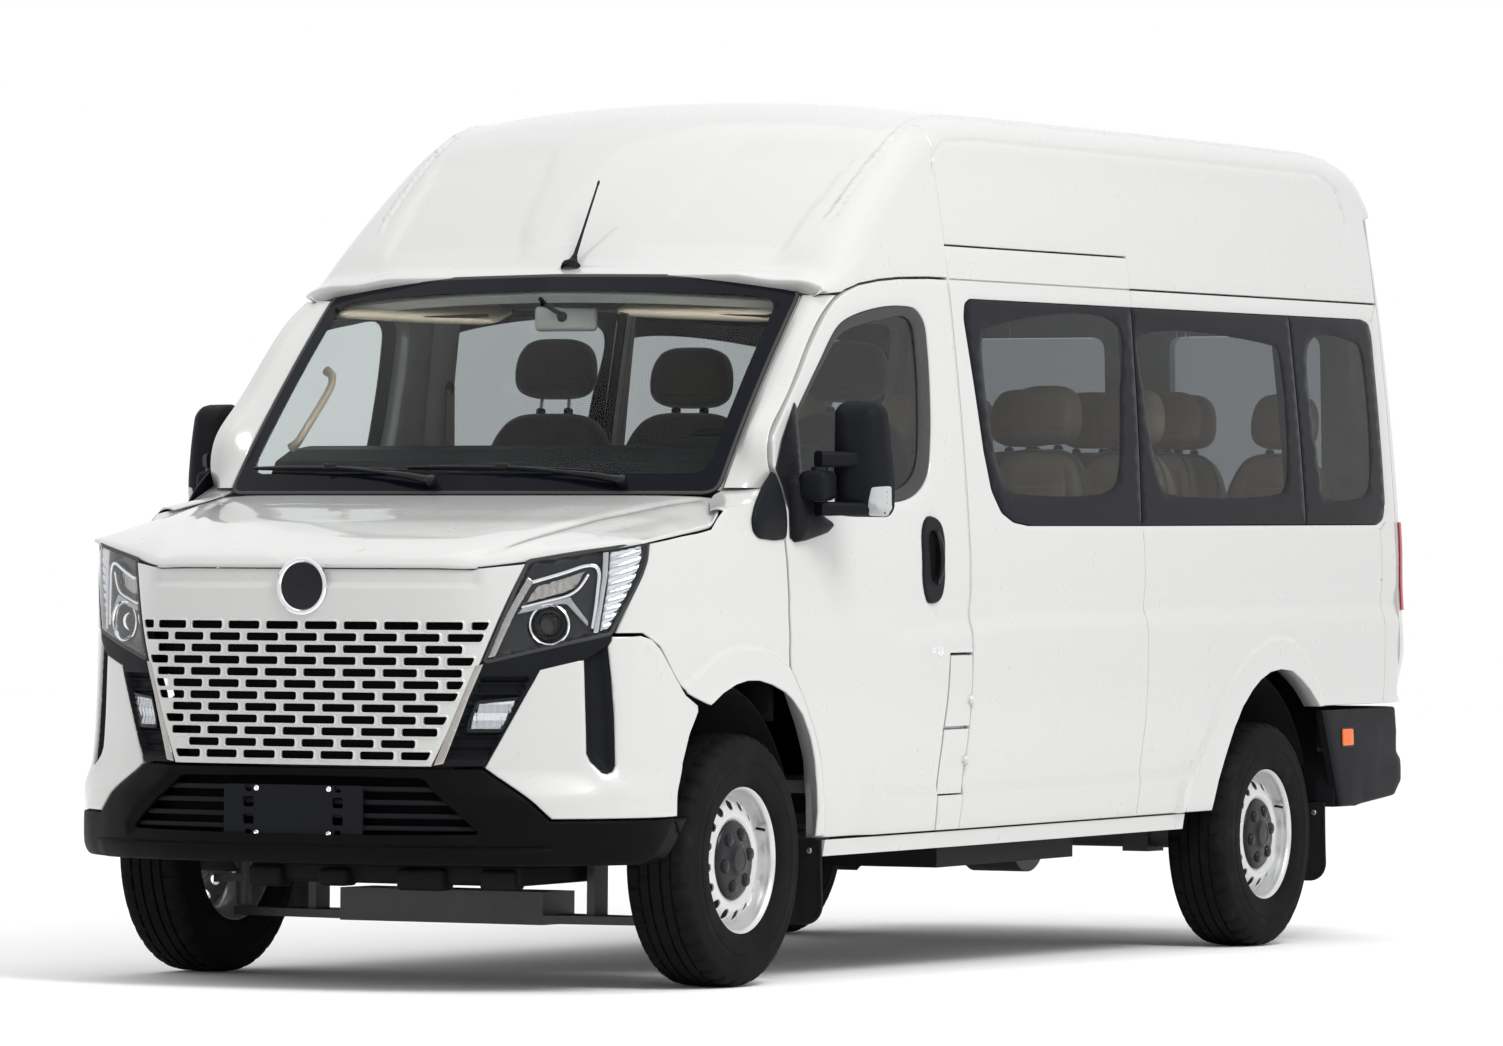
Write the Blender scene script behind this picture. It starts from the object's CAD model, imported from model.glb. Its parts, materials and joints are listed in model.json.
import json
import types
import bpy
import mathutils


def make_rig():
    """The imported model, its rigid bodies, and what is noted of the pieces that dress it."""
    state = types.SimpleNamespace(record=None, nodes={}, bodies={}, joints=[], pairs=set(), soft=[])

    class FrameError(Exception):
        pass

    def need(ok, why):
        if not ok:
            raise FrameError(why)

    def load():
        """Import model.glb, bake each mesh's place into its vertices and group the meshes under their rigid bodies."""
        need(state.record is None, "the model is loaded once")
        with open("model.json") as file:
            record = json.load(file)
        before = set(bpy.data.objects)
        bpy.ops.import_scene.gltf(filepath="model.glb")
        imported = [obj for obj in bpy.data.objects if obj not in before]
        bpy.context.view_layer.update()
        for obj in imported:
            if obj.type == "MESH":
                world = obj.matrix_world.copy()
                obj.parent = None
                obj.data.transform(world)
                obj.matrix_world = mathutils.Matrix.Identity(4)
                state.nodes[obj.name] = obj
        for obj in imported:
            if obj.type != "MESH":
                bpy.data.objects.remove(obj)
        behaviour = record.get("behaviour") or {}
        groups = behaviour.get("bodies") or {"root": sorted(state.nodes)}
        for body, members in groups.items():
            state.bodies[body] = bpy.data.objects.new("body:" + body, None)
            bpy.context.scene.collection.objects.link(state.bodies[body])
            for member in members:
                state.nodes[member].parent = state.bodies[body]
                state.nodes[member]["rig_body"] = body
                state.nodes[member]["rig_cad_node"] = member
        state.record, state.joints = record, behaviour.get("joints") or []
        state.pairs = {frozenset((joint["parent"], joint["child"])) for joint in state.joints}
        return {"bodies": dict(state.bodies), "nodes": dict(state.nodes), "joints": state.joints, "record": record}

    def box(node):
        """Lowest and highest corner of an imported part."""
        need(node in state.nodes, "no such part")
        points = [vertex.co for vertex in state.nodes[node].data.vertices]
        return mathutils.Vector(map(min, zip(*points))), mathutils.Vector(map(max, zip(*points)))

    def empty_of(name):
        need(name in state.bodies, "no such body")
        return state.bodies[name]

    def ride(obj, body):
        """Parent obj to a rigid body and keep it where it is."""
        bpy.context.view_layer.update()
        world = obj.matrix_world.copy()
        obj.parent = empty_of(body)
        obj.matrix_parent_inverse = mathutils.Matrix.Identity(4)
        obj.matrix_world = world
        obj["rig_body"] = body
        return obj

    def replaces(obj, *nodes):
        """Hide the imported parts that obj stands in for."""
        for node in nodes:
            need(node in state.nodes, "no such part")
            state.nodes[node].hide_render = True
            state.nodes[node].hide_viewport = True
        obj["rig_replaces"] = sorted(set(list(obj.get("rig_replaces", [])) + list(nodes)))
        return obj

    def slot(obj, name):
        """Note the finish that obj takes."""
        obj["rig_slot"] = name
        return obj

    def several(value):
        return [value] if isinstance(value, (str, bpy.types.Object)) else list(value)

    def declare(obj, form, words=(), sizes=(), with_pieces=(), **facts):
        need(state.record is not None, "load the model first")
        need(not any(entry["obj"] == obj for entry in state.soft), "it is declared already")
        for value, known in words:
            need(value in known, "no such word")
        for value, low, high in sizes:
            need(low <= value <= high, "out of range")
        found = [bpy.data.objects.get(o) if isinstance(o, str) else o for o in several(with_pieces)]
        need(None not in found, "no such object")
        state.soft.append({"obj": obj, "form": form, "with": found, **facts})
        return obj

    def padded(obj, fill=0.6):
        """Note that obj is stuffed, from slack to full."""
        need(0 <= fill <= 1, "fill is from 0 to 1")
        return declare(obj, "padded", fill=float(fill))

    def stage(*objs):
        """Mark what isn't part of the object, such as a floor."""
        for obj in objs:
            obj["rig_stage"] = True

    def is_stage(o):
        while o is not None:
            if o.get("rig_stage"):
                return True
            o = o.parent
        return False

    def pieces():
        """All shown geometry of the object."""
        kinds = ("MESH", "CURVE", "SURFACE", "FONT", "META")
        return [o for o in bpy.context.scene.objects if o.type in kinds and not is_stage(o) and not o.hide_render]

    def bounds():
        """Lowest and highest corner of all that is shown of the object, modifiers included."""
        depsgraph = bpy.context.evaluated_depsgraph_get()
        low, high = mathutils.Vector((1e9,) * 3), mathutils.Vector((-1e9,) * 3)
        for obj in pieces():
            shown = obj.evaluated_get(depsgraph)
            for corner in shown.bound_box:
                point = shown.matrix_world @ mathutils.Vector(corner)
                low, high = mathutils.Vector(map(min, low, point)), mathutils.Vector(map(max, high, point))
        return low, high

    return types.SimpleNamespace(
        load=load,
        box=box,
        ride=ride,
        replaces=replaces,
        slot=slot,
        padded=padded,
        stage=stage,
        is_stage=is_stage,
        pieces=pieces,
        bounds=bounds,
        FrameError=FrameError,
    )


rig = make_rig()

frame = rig.load()
import bpy, bmesh, math, json
import numpy as np
from mathutils import Vector, Matrix
from mathutils.geometry import delaunay_2d_cdt

CAD_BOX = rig.bounds()
NODES = frame["nodes"]
MID = 1909.0
K = math.radians(0.6875)
PIVOT = np.array([0.0, 1500.0, 1000.0])
RK = np.array([[1, 0, 0], [0, math.cos(K), -math.sin(K)], [0, math.sin(K), math.cos(K)]])


def W(P):
    """Body millimetres to row-frame metres."""
    P = np.atleast_2d(np.asarray(P, float))
    return ((P - PIVOT) @ RK.T + PIVOT - np.array([0, MID, 0])) / 1000.0


def LV(P):
    """Level millimetres (wheels, axles) to row-frame metres."""
    return (np.atleast_2d(np.asarray(P, float)) - np.array([0, MID, 0])) / 1000.0


# ---------------------------------------------------------------------------
# curves of the body, as the CAD draws them
# ---------------------------------------------------------------------------
def table(xs, ys):
    xs, ys = np.array(xs, float), np.array(ys, float)
    h = np.diff(xs)
    d = np.diff(ys) / h
    m = np.zeros(len(xs))
    m[0], m[-1] = d[0], d[-1]
    for i in range(1, len(xs) - 1):
        if d[i - 1] * d[i] > 0:
            w1, w2 = 2 * h[i] + h[i - 1], h[i] + 2 * h[i - 1]
            m[i] = (w1 + w2) / (w1 / d[i - 1] + w2 / d[i])

    def f(x):
        x = np.clip(np.asarray(x, float), xs[0], xs[-1])
        i = np.clip(np.searchsorted(xs, x, side="right") - 1, 0, len(xs) - 2)
        t = (x - xs[i]) / h[i]
        return (ys[i] * (2 * t**3 - 3 * t * t + 1) + h[i] * m[i] * (t**3 - 2 * t * t + t)
                + ys[i + 1] * (-2 * t**3 + 3 * t * t) + h[i] * m[i + 1] * (t**3 - t * t))
    return f


half_z = table([300, 380, 450, 600, 730, 855, 980, 1100, 1200, 1300, 1400, 1540, 1690, 1840, 1990, 2150, 2270, 2380, 2440, 2500],
               [905, 915, 927, 949, 968, 977, 980, 972, 972, 967, 960, 949, 935, 919, 902, 879, 861, 843, 832, 818])
taper_y = table([-700, -500, -300, 0, 200, 600, 1000, 1500, 4200, 4500, 4700],
                [-90, -62, -43, -31, -26, -15, -6, 0, 0, -5, -14])


def side_x(y, z):
    return half_z(z) + taper_y(y)


NOSE_Z = [300, 450, 560, 650, 1000, 1260]
NOSE = [
    [(0, -930), (200, -927), (400, -905), (550, -860), (660, -803), (750, -738), (815, -680), (865, -612), (898, -545), (914, -480), (922, -360), (928, -200)],
    [(0, -958), (200, -955), (400, -933), (550, -884), (660, -822), (750, -756), (820, -692), (873, -622), (906, -552), (922, -482), (929, -360), (933, -200)],
    [(0, -945), (200, -942), (400, -920), (550, -874), (660, -812), (750, -748), (820, -685), (872, -618), (905, -550), (921, -480), (929, -360), (935, -200)],
    [(0, -912), (200, -909), (400, -889), (523, -846), (633, -785), (735, -713), (812, -652), (868, -588), (900, -520), (917, -450), (928, -330), (938, -200)],
    [(0, -892), (200, -889), (400, -869), (523, -832), (633, -766), (740, -690), (820, -618), (875, -548), (902, -475), (915, -410), (926, -300), (938, -170)],
    [(0, -872), (200, -869), (400, -850), (510, -818), (633, -727), (740, -662), (830, -592), (880, -535), (903, -470), (914, -405), (924, -300), (934, -170)],
]
nose_tab = [[table(NOSE_Z, [r[k][a] for r in NOSE]) for a in (0, 1)] for k in range(12)]


def nose_xy(k, z, grow=0.0):
    """Points of the nose curve for arrays of station k (signed) and height z."""
    k = np.asarray(k, float)
    z = np.asarray(z, float) + 0 * k
    sg = np.where(k < 0, -1.0, 1.0)
    ka = np.clip(np.abs(k), 0, 10.9999)
    G = np.array([[nose_tab[i][a](z) for a in (0, 1)] for i in range(12)])     # 12,2,n
    k0 = np.minimum(10, np.floor(ka).astype(int))
    f = ka - k0
    n = np.arange(len(ka)) if ka.ndim else 0
    G = G.reshape(12, 2, -1)
    zi = np.arange(G.shape[2])
    a, b = G[k0, :, zi], G[k0 + 1, :, zi]
    p0 = np.where((k0 == 0)[:, None], b * np.array([-1, 1]), G[np.maximum(k0 - 1, 0), :, zi])
    p3 = np.where((k0 >= 10)[:, None], 2 * b - a, G[np.minimum(k0 + 2, 11), :, zi])
    F = f[:, None]
    q = 0.5 * (2 * a + (b - p0) * F + (2 * p0 - 5 * a + 4 * b - p3) * F * F + (3 * a - p0 - 3 * b + p3) * F**3)
    dq = (b - p0) + 2 * (2 * p0 - 5 * a + 4 * b - p3) * F + 3 * (3 * a - p0 - 3 * b + p3) * F * F
    l = np.hypot(dq[:, 0], dq[:, 1])
    x = q[:, 0] + grow * dq[:, 1] / l
    y = q[:, 1] - grow * dq[:, 0] / l
    return x * sg, y


# arc length along the nose at mid height, as the flat coordinate of its panels
_kk = np.linspace(0, 11, 441)
_x, _y = nose_xy(_kk, np.full(441, 800.0))
_ss = np.concatenate([[0], np.cumsum(np.hypot(np.diff(_x), np.diff(_y)))])


def s_of_k(k):
    return np.sign(k) * np.interp(np.abs(k), _kk, _ss)


def k_of_s(s):
    return np.sign(s) * np.interp(np.abs(s), _ss, _kk)


def k_from_x(x, z):
    kk = np.linspace(0, 10.9, 437)
    xs, ys = nose_xy(kk, np.full(437, float(z)))
    i = np.argmax(xs >= abs(x)) if (xs >= abs(x)).any() else 436
    if i == 0:
        return 0.0
    t = (abs(x) - xs[i - 1]) / max(1e-9, xs[i] - xs[i - 1])
    return math.copysign(kk[i - 1] + t * (kk[i] - kk[i - 1]), x) if x else 0.0


def k_from_y(y, z):
    kk = np.linspace(0, 10.99, 441)
    xs, ys = nose_xy(kk, np.full(441, float(z)))
    i = np.argmax(ys >= y) if (ys >= y).any() else 440
    t = (y - ys[i - 1]) / max(1e-9, ys[i] - ys[i - 1])
    return kk[i - 1] + t * (kk[i] - kk[i - 1])


def SX(x, z):
    return (float(s_of_k(k_from_x(x, z))), float(z))


def SY(y, z):
    return (float(s_of_k(k_from_y(y, z))), float(z))


LIP = [(0, -872, 1206), (200, -869, 1206), (400, -850, 1206), (512, -817, 1205), (633, -727, 1222), (740, -663, 1243), (830, -594, 1262), (893, -540, 1278)]
TAIL = [(0, -96, 1405), (220, -90, 1405), (420, -70, 1405), (550, -45, 1405), (680, -8, 1404), (780, 28, 1400), (845, 0, 1388), (918, -165, 1350)]
crown_t = table([0, 0.03, 0.10, 0.22, 0.45, 0.60, 0.80, 1.0], [0, 18, 27, 31, 29, 22, 13, 0])
edge_t = table([0, 0.5, 0.9, 1.0], [0, -14, -24, 0])


def bonnet_xyz(k, t):
    k, t = np.asarray(k, float), np.asarray(t, float)
    sg = np.where(k < 0, -1.0, 1.0)
    k = np.clip(np.abs(k), 0, 6.99999)
    k0 = np.floor(k).astype(int)
    f = (k - k0)[:, None]

    def row(R):
        R = np.array(R, float)
        a, b = R[k0], R[k0 + 1]
        p0 = np.where((k0 == 0)[:, None], b * np.array([-1, 1, 1]), R[np.maximum(k0 - 1, 0)])
        p3 = np.where((k0 + 2 > 7)[:, None], 2 * b - a, R[np.minimum(k0 + 2, 7)])
        return 0.5 * (2 * a + (b - p0) * f + (2 * p0 - 5 * a + 4 * b - p3) * f * f + (3 * a - p0 - 3 * b + p3) * f**3)
    A, B = row(LIP), row(TAIL)
    s = k / 7.0
    P = A + (B - A) * t[:, None]
    P[:, 2] += crown_t(t) * (1 - s**4) + edge_t(t) * s**6
    P[:, 0] *= sg
    return P


def screen_y(x, z):
    t = (z - 1410.0) / 635.0
    return -88.0 + 1.045 * (z - 1410.0) + (150.0 - 42.0 * t) * (x / 800.0)**2 - 24.0 * 4 * t * (1 - t)


shoulder_z = table([590, 630, 667, 740, 826, 950, 1085, 1217, 1350, 1485, 1640, 1950, 2650, 4200, 4440, 4540, 4600, 4640, 4656],
                   [2046, 2062, 2074, 2128, 2195, 2287, 2379, 2458, 2516, 2543, 2549, 2551, 2549, 2540, 2526, 2508, 2478, 2436, 2390])
crown_y = table([640, 800, 1200, 1700, 4200, 4656], [0, 14, 40, 54, 58, 30])
rear_lean = table([600, 1300, 1700, 2100, 2350, 2450], [4690, 4690, 4680, 4660, 4640, 4625])


def spline(P, n):
    """Natural cubic spline through points, sampled evenly along its length."""
    P = np.asarray(P, float)
    t = np.concatenate([[0], np.cumsum(np.linalg.norm(np.diff(P, axis=0), axis=1))])
    m = len(t)
    A = np.zeros((m, m))
    R = np.zeros((m, P.shape[1]))
    A[0, 0] = A[-1, -1] = 1
    for i in range(1, m - 1):
        h0, h1 = t[i] - t[i - 1], t[i + 1] - t[i]
        A[i, i - 1], A[i, i], A[i, i + 1] = h0, 2 * (h0 + h1), h1
        R[i] = 6 * ((P[i + 1] - P[i]) / h1 - (P[i] - P[i - 1]) / h0)
    M = np.linalg.solve(A, R)

    def ev(u):
        i = np.clip(np.searchsorted(t, u, side="right") - 1, 0, m - 2)
        h = (t[i + 1] - t[i])[:, None]
        a = (t[i + 1][:, None] - u[:, None]) / h
        b = 1 - a
        return a * P[i] + b * P[i + 1] + ((a**3 - a) * M[i] + (b**3 - b) * M[i + 1]) * h * h / 6
    u = np.linspace(0, t[-1], n * 3)
    Q = ev(u)
    L = np.concatenate([[0], np.cumsum(np.linalg.norm(np.diff(Q, axis=0), axis=1))])
    return ev(np.interp(np.linspace(0, L[-1], n), L, u))


def roof_half(y):
    zt, cr = float(shoulder_z(y)), float(crown_y(y))
    pts = [(x, zt + cr * (1 - (x / 740.0)**2.4)) for x in (0, 185, 370, 540, 660, 740)]
    low = 1985.0
    drop = min(120.0, 0.8 * (zt - low))
    zs = zt - drop
    xs = float(side_x(y, zs))
    for a in (22, 45, 67):
        r = math.radians(a)
        pts.append((740 + (xs - 740) * math.sin(r), zs + drop * math.cos(r)))
    for f in (0.0, 0.33, 0.66, 1.0):
        z = zs + (low - zs) * f
        pts.append((float(side_x(y, z)), z))
    full = [(-x, z) for x, z in reversed(pts[1:])] + pts
    s = spline(full, 361)
    return s[180:]                                                     # centre to side, 181 points


RY = np.arange(590.0, 4657.0, 6.0)
RSEC = np.array([roof_half(float(y)) for y in RY])                     # ny,181,2
RLEN = 1400.0


def roof_xyz(a, y):
    """a: signed distance-like coordinate across the roof (0..1400), y along it."""
    a, y = np.asarray(a, float), np.asarray(y, float)
    q = np.clip(np.abs(a) / RLEN, 0, 1) * 180
    i = np.clip((y - RY[0]) / 6.0, 0, len(RY) - 1.0001)
    i0, j0 = i.astype(int), np.minimum(q.astype(int), 179)
    fi, fj = (i - i0)[:, None], (q - j0)[:, None]
    P = (RSEC[i0, j0] * (1 - fi) * (1 - fj) + RSEC[i0 + 1, j0] * fi * (1 - fj) + RSEC[i0, j0 + 1] * (1 - fi) * fj + RSEC[i0 + 1, j0 + 1] * fi * fj)
    return np.stack([P[:, 0] * np.where(a < 0, -1, 1), y, P[:, 1]], 1)


def roof_a(y, z=None, x=None):
    """Roof coordinate of a height on its side, or of a half width on its top."""
    i = int(np.clip(round((y - RY[0]) / 6.0), 0, len(RY) - 1))
    sec = RSEC[i]
    if z is not None:
        j = np.argmax(sec[:, 1] <= z) if (sec[:, 1] <= z).any() else 180
        if j == 0:
            return 0.0
        t = (sec[j - 1, 1] - z) / max(1e-9, sec[j - 1, 1] - sec[j, 1])
    else:
        j = np.argmax(sec[:, 0] >= x) if (sec[:, 0] >= x).any() else 180
        if j == 0:
            return 0.0
        t = (x - sec[j - 1, 0]) / max(1e-9, sec[j, 0] - sec[j - 1, 0])
    return (j - 1 + t) / 180.0 * RLEN


# ---------------------------------------------------------------------------
# outlines
# ---------------------------------------------------------------------------
DOOR_FRONT = [(218, 1275), (231, 1335), (231, 1391), (206, 1445), (170, 1485), (178, 1570), (268, 1655), (371, 1749), (446, 1826),
              (521, 1893), (575, 1935), (628, 1968), (713, 2001), (790, 2020), (918, 2035), (1046, 2044), (1241, 2050)]
DOOR_LOW = [(527, 419), (493, 531), (443, 648), (370, 749), (285, 851), (232, 905), (226, 960), (232, 1040), (237, 1110), (228, 1190)]
DOOR_L = DOOR_FRONT + [(1364, 2050), (1364, 941), (1215, 941), (1206, 806), (1195, 723), (1199, 529), (1213, 419)] + DOOR_LOW
DOOR_R = DOOR_FRONT + [(1364, 2050), (1364, 419)] + DOOR_LOW
DOOR_WIN = [(905, 1393), (1056, 1423), (1120, 1470), (1156, 1570), (1177, 1688), (1190, 1836), (1184, 1914), (1140, 1950), (1064, 1958),
            (904, 1950), (711, 1916), (631, 1884), (500, 1778), (358, 1655), (268, 1575), (226, 1505), (250, 1458)]
FLAP_UP = [(1218, 936), (1358, 936), (1358, 728), (1200, 728), (1210, 806)]
FLAP_LOW = [(1198, 718), (1358, 718), (1358, 528), (1202, 528)]
ARCH_F = [(-418, 300), (-415, 400), (-409, 507), (-372, 659), (-334, 735), (-282, 790), (-240, 818), (-177, 850), (-105, 873), (-38, 883), (31, 882),
          (107, 869), (180, 848), (228, 826), (293, 782), (352, 715), (396, 649), (432, 570), (455, 500), (464, 400), (466, 300)]
ARCH_R = [(3170, 300), (3176, 380), (3184, 418), (3203, 516), (3237, 603), (3271, 682), (3316, 744), (3384, 797), (3442, 828), (3518, 852), (3604, 860),
          (3691, 853), (3775, 822), (3844, 789), (3899, 756), (3965, 725), (4092, 557), (4220, 387), (4250, 300)]
BAND = [(1502, 1993), (1464, 1978), (1448, 1936), (1502, 1544), (1537, 1425), (1596, 1359), (1675, 1330), (1777, 1320), (2588, 1320), (4443, 1323),
        (4500, 1340), (4527, 1387), (4536, 1948), (4520, 1985), (4459, 1996)]
CLEAR = [[(1575, 1897), (1613, 1912), (2539, 1923), (2500, 1720), (2446, 1490), (2418, 1450), (2348, 1422), (1708, 1416), (1655, 1428), (1611, 1461), (1560, 1604), (1552, 1857)],
         [(2664, 1894), (3675, 1898), (3735, 1883), (3729, 1497), (3686, 1433), (3612, 1417), (2841, 1414), (2769, 1429), (2727, 1491), (2664, 1832)],
         [(3990, 1900), (4349, 1921), (4412, 1896), (4398, 1468), (4354, 1422), (4012, 1418), (3996, 1466)]]


def smooth(x, a, b):
    t = np.clip((np.asarray(x, float) - a) / (b - a), 0, 1)
    return t * t * (3 - 2 * t)


def inside(poly, P):
    poly = np.asarray(poly, float)
    x, y = P[:, 0], P[:, 1]
    res = np.zeros(len(P), bool)
    n = len(poly)
    j = n - 1
    for i in range(n):
        xi, yi = poly[i]
        xj, yj = poly[j]
        if yi != yj:
            c = ((yi > y) != (yj > y)) & (x < (xj - xi) * (y - yi) / (yj - yi) + xi)
            res ^= c
        j = i
    return res


def seg_dist(poly, P, closed=True):
    """Distance of points from a polyline."""
    poly = np.asarray(poly, float)
    A = poly if closed else poly[:-1]
    B = np.roll(poly, -1, axis=0) if closed else poly[1:]
    out = np.full(len(P), 1e9)
    for a, b in zip(A, B):
        d = b - a
        l2 = max(1e-12, float(d @ d))
        t = np.clip(((P - a) @ d) / l2, 0, 1)
        q = a + t[:, None] * d
        out = np.minimum(out, np.hypot(P[:, 0] - q[:, 0], P[:, 1] - q[:, 1]))
    return out


def grow_line(pts, g):
    n = len(pts)
    area = sum(pts[i][0] * pts[(i + 1) % n][1] - pts[(i + 1) % n][0] * pts[i][1] for i in range(n))
    sgn = 1.0 if area > 0 else -1.0
    out = []
    for i in range(n):
        p0, p1, p2 = pts[i - 1], pts[i], pts[(i + 1) % n]
        e1 = (p1[0] - p0[0], p1[1] - p0[1])
        e2 = (p2[0] - p1[0], p2[1] - p1[1])
        l1, l2 = math.hypot(*e1), math.hypot(*e2)
        n1 = (e1[1] / l1 * sgn, -e1[0] / l1 * sgn)
        n2 = (e2[1] / l2 * sgn, -e2[0] / l2 * sgn)
        c = max(1 + n1[0] * n2[0] + n1[1] * n2[1], 0.35)
        out.append((p1[0] + g * (n1[0] + n2[0]) / c, p1[1] + g * (n1[1] + n2[1]) / c))
    return out


def soften(pts, r=25.0, n=4):
    out = []
    m = len(pts)
    for i in range(m):
        p0, p1, p2 = pts[i - 1], pts[i], pts[(i + 1) % m]
        a = (p0[0] - p1[0], p0[1] - p1[1])
        b = (p2[0] - p1[0], p2[1] - p1[1])
        la, lb = math.hypot(*a), math.hypot(*b)
        d = min(r, la * 0.45, lb * 0.45)
        s = (p1[0] + a[0] / la * d, p1[1] + a[1] / la * d)
        e = (p1[0] + b[0] / lb * d, p1[1] + b[1] / lb * d)
        for j in range(n + 1):
            t = j / float(n)
            out.append(((1 - t)**2 * s[0] + 2 * t * (1 - t) * p1[0] + t * t * e[0],
                        (1 - t)**2 * s[1] + 2 * t * (1 - t) * p1[1] + t * t * e[1]))
    return out


def flow(pts, step=20.0):
    """A closed smooth curve through points (Catmull-Rom), for rounded openings."""
    P = np.asarray(pts, float)
    n = len(P)
    out = []
    for i in range(n):
        p0, p1, p2, p3 = P[i - 1], P[i], P[(i + 1) % n], P[(i + 2) % n]
        d1, d2, d3 = [max(1e-6, np.linalg.norm(b - a))**0.5 for a, b in ((p0, p1), (p1, p2), (p2, p3))]
        t0, t1, t2, t3 = 0, d1, d1 + d2, d1 + d2 + d3
        m = max(2, int(np.linalg.norm(p2 - p1) / step))
        for t in np.linspace(t1, t2, m, endpoint=False):
            A1 = (t1 - t) / (t1 - t0) * p0 + (t - t0) / (t1 - t0) * p1
            A2 = (t2 - t) / (t2 - t1) * p1 + (t - t1) / (t2 - t1) * p2
            A3 = (t3 - t) / (t3 - t2) * p2 + (t - t2) / (t3 - t2) * p3
            B1 = (t2 - t) / (t2 - t0) * A1 + (t - t0) / (t2 - t0) * A2
            B2 = (t3 - t) / (t3 - t1) * A2 + (t - t1) / (t3 - t1) * A3
            out.append(tuple((t2 - t) / (t2 - t1) * B1 + (t - t1) / (t2 - t1) * B2))
    return out


def dense(poly, step):
    out = []
    n = len(poly)
    for i in range(n):
        a, b = np.array(poly[i], float), np.array(poly[(i + 1) % n], float)
        m = max(1, int(math.ceil(np.linalg.norm(b - a) / step)))
        for j in range(m):
            out.append(tuple(a + (b - a) * j / m))
    return out


# ---------------------------------------------------------------------------
# mesh building
# ---------------------------------------------------------------------------
MATS = {}


def make_obj(name, verts, faces, mats, body, node_slot=None, fmat=None, sharp=38.0, smooth_shade=True, normals=None):
    me = bpy.data.meshes.new(name)
    me.from_pydata([tuple(map(float, v)) for v in verts], [], [tuple(int(i) for i in f) for f in faces])
    me.validate()
    for m in (mats if isinstance(mats, (list, tuple)) else [mats]):
        me.materials.append(MATS[m])
    if fmat is not None and len(me.polygons) == len(fmat):
        me.polygons.foreach_set("material_index", np.asarray(fmat, np.int32))
    if smooth_shade:
        me.polygons.foreach_set("use_smooth", np.ones(len(me.polygons), bool))
        me.set_sharp_from_angle(angle=math.radians(sharp))
    me.update()
    if normals is not None and len(normals) == len(me.vertices):
        me.normals_split_custom_set_from_vertices([tuple(map(float, v)) for v in normals])
    o = bpy.data.objects.new(name, me)
    bpy.context.scene.collection.objects.link(o)
    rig.ride(o, body)
    if node_slot:
        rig.slot(o, node_slot)
    return o


def region(outline, holes=(), step=18.0, edge=4.0, extra=(), bstep=None):
    """Triangles of a flat region with holes: points, triangles, boundary loops and each point's distance from its edge."""
    bstep = bstep or min(step, 14.0)
    loops = [dense(outline, bstep)] + [dense(h, bstep) for h in holes]
    pts, edges, li = [], [], []
    for lp in loops:
        b = len(pts)
        pts += lp
        n = len(lp)
        edges += [(b + i, b + (i + 1) % n) for i in range(n)]
        li.append(list(range(b, b + n)))
    allp = np.array(pts)
    free = []
    if edge:
        for q, lp in enumerate(loops):
            sg = -1 if q == 0 else 1
            for f in (0.15, 0.45, 1.0):
                free += grow_line(lp, sg * edge * f)
    lo, hi = np.min(loops[0], axis=0), np.max(loops[0], axis=0)
    gx = np.arange(lo[0], hi[0], step)
    gy = np.arange(lo[1], hi[1], step * 0.87)
    g = np.array([(x + (step / 2 if j % 2 else 0), y) for j, y in enumerate(gy) for x in gx])
    ex = np.array(extra, float).reshape(-1, 2) if len(extra) else np.zeros((0, 2))
    fr = np.array(free).reshape(-1, 2)

    def keep(P, dmin):
        if not len(P):
            return P
        m = inside(outline, P)
        for h in holes:
            m &= ~inside(h, P)
        P = P[m]
        d = np.full(len(P), 1e9)
        for lp in loops:
            d = np.minimum(d, seg_dist(lp, P))
        return P[d >= dmin]
    fr = keep(fr, edge * 0.12)
    ex = keep(ex, max(edge * 1.2, 3.0))
    g = keep(g, max(edge * 1.3, step * 0.5))
    if len(ex) and len(g):
        # leave the even grid out where the drawn lines put their own points
        cell = {}
        for p in ex:
            cell.setdefault((int(p[0] // 10), int(p[1] // 10)), 1)
        g = np.array([p for p in g if (int(p[0] // 10), int(p[1] // 10)) not in cell]).reshape(-1, 2)
    P = np.concatenate([allp, fr, ex, g])
    v, e, f, ov, oe, of_ = delaunay_2d_cdt([Vector(p) for p in P], edges, [], 0, 1e-4)
    V2 = np.array([(p.x, p.y) for p in v])
    T = np.array([t for t in f if len(t) == 3], int)
    c = V2[T].mean(axis=1)
    m = inside(loops[0], c)
    for lp in loops[1:]:
        m &= ~inside(lp, c)
    T = T[m]
    # orient all triangles the same way round
    a, b, cc = V2[T[:, 0]], V2[T[:, 1]], V2[T[:, 2]]
    ar = (b[:, 0] - a[:, 0]) * (cc[:, 1] - a[:, 1]) - (b[:, 1] - a[:, 1]) * (cc[:, 0] - a[:, 0])
    T = T[np.abs(ar) > 1e-6]
    ar = ar[np.abs(ar) > 1e-6]
    T[ar < 0] = T[ar < 0][:, ::-1]
    used = np.unique(T)
    remap = -np.ones(len(V2), int)
    remap[used] = np.arange(len(used))
    V2 = V2[used]
    T = remap[T]
    d = np.full(len(V2), 1e9)
    for lp in loops:
        d = np.minimum(d, seg_dist(lp, V2))
    # boundary edges are those that only one triangle has
    E = np.concatenate([T[:, [0, 1]], T[:, [1, 2]], T[:, [2, 0]]])
    key = E.min(1).astype(np.int64) * 10000000 + E.max(1)
    _, inv, cnt = np.unique(key, return_inverse=True, return_counts=True)
    B = E[cnt[inv] == 1]
    return V2, T, B, d


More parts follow.
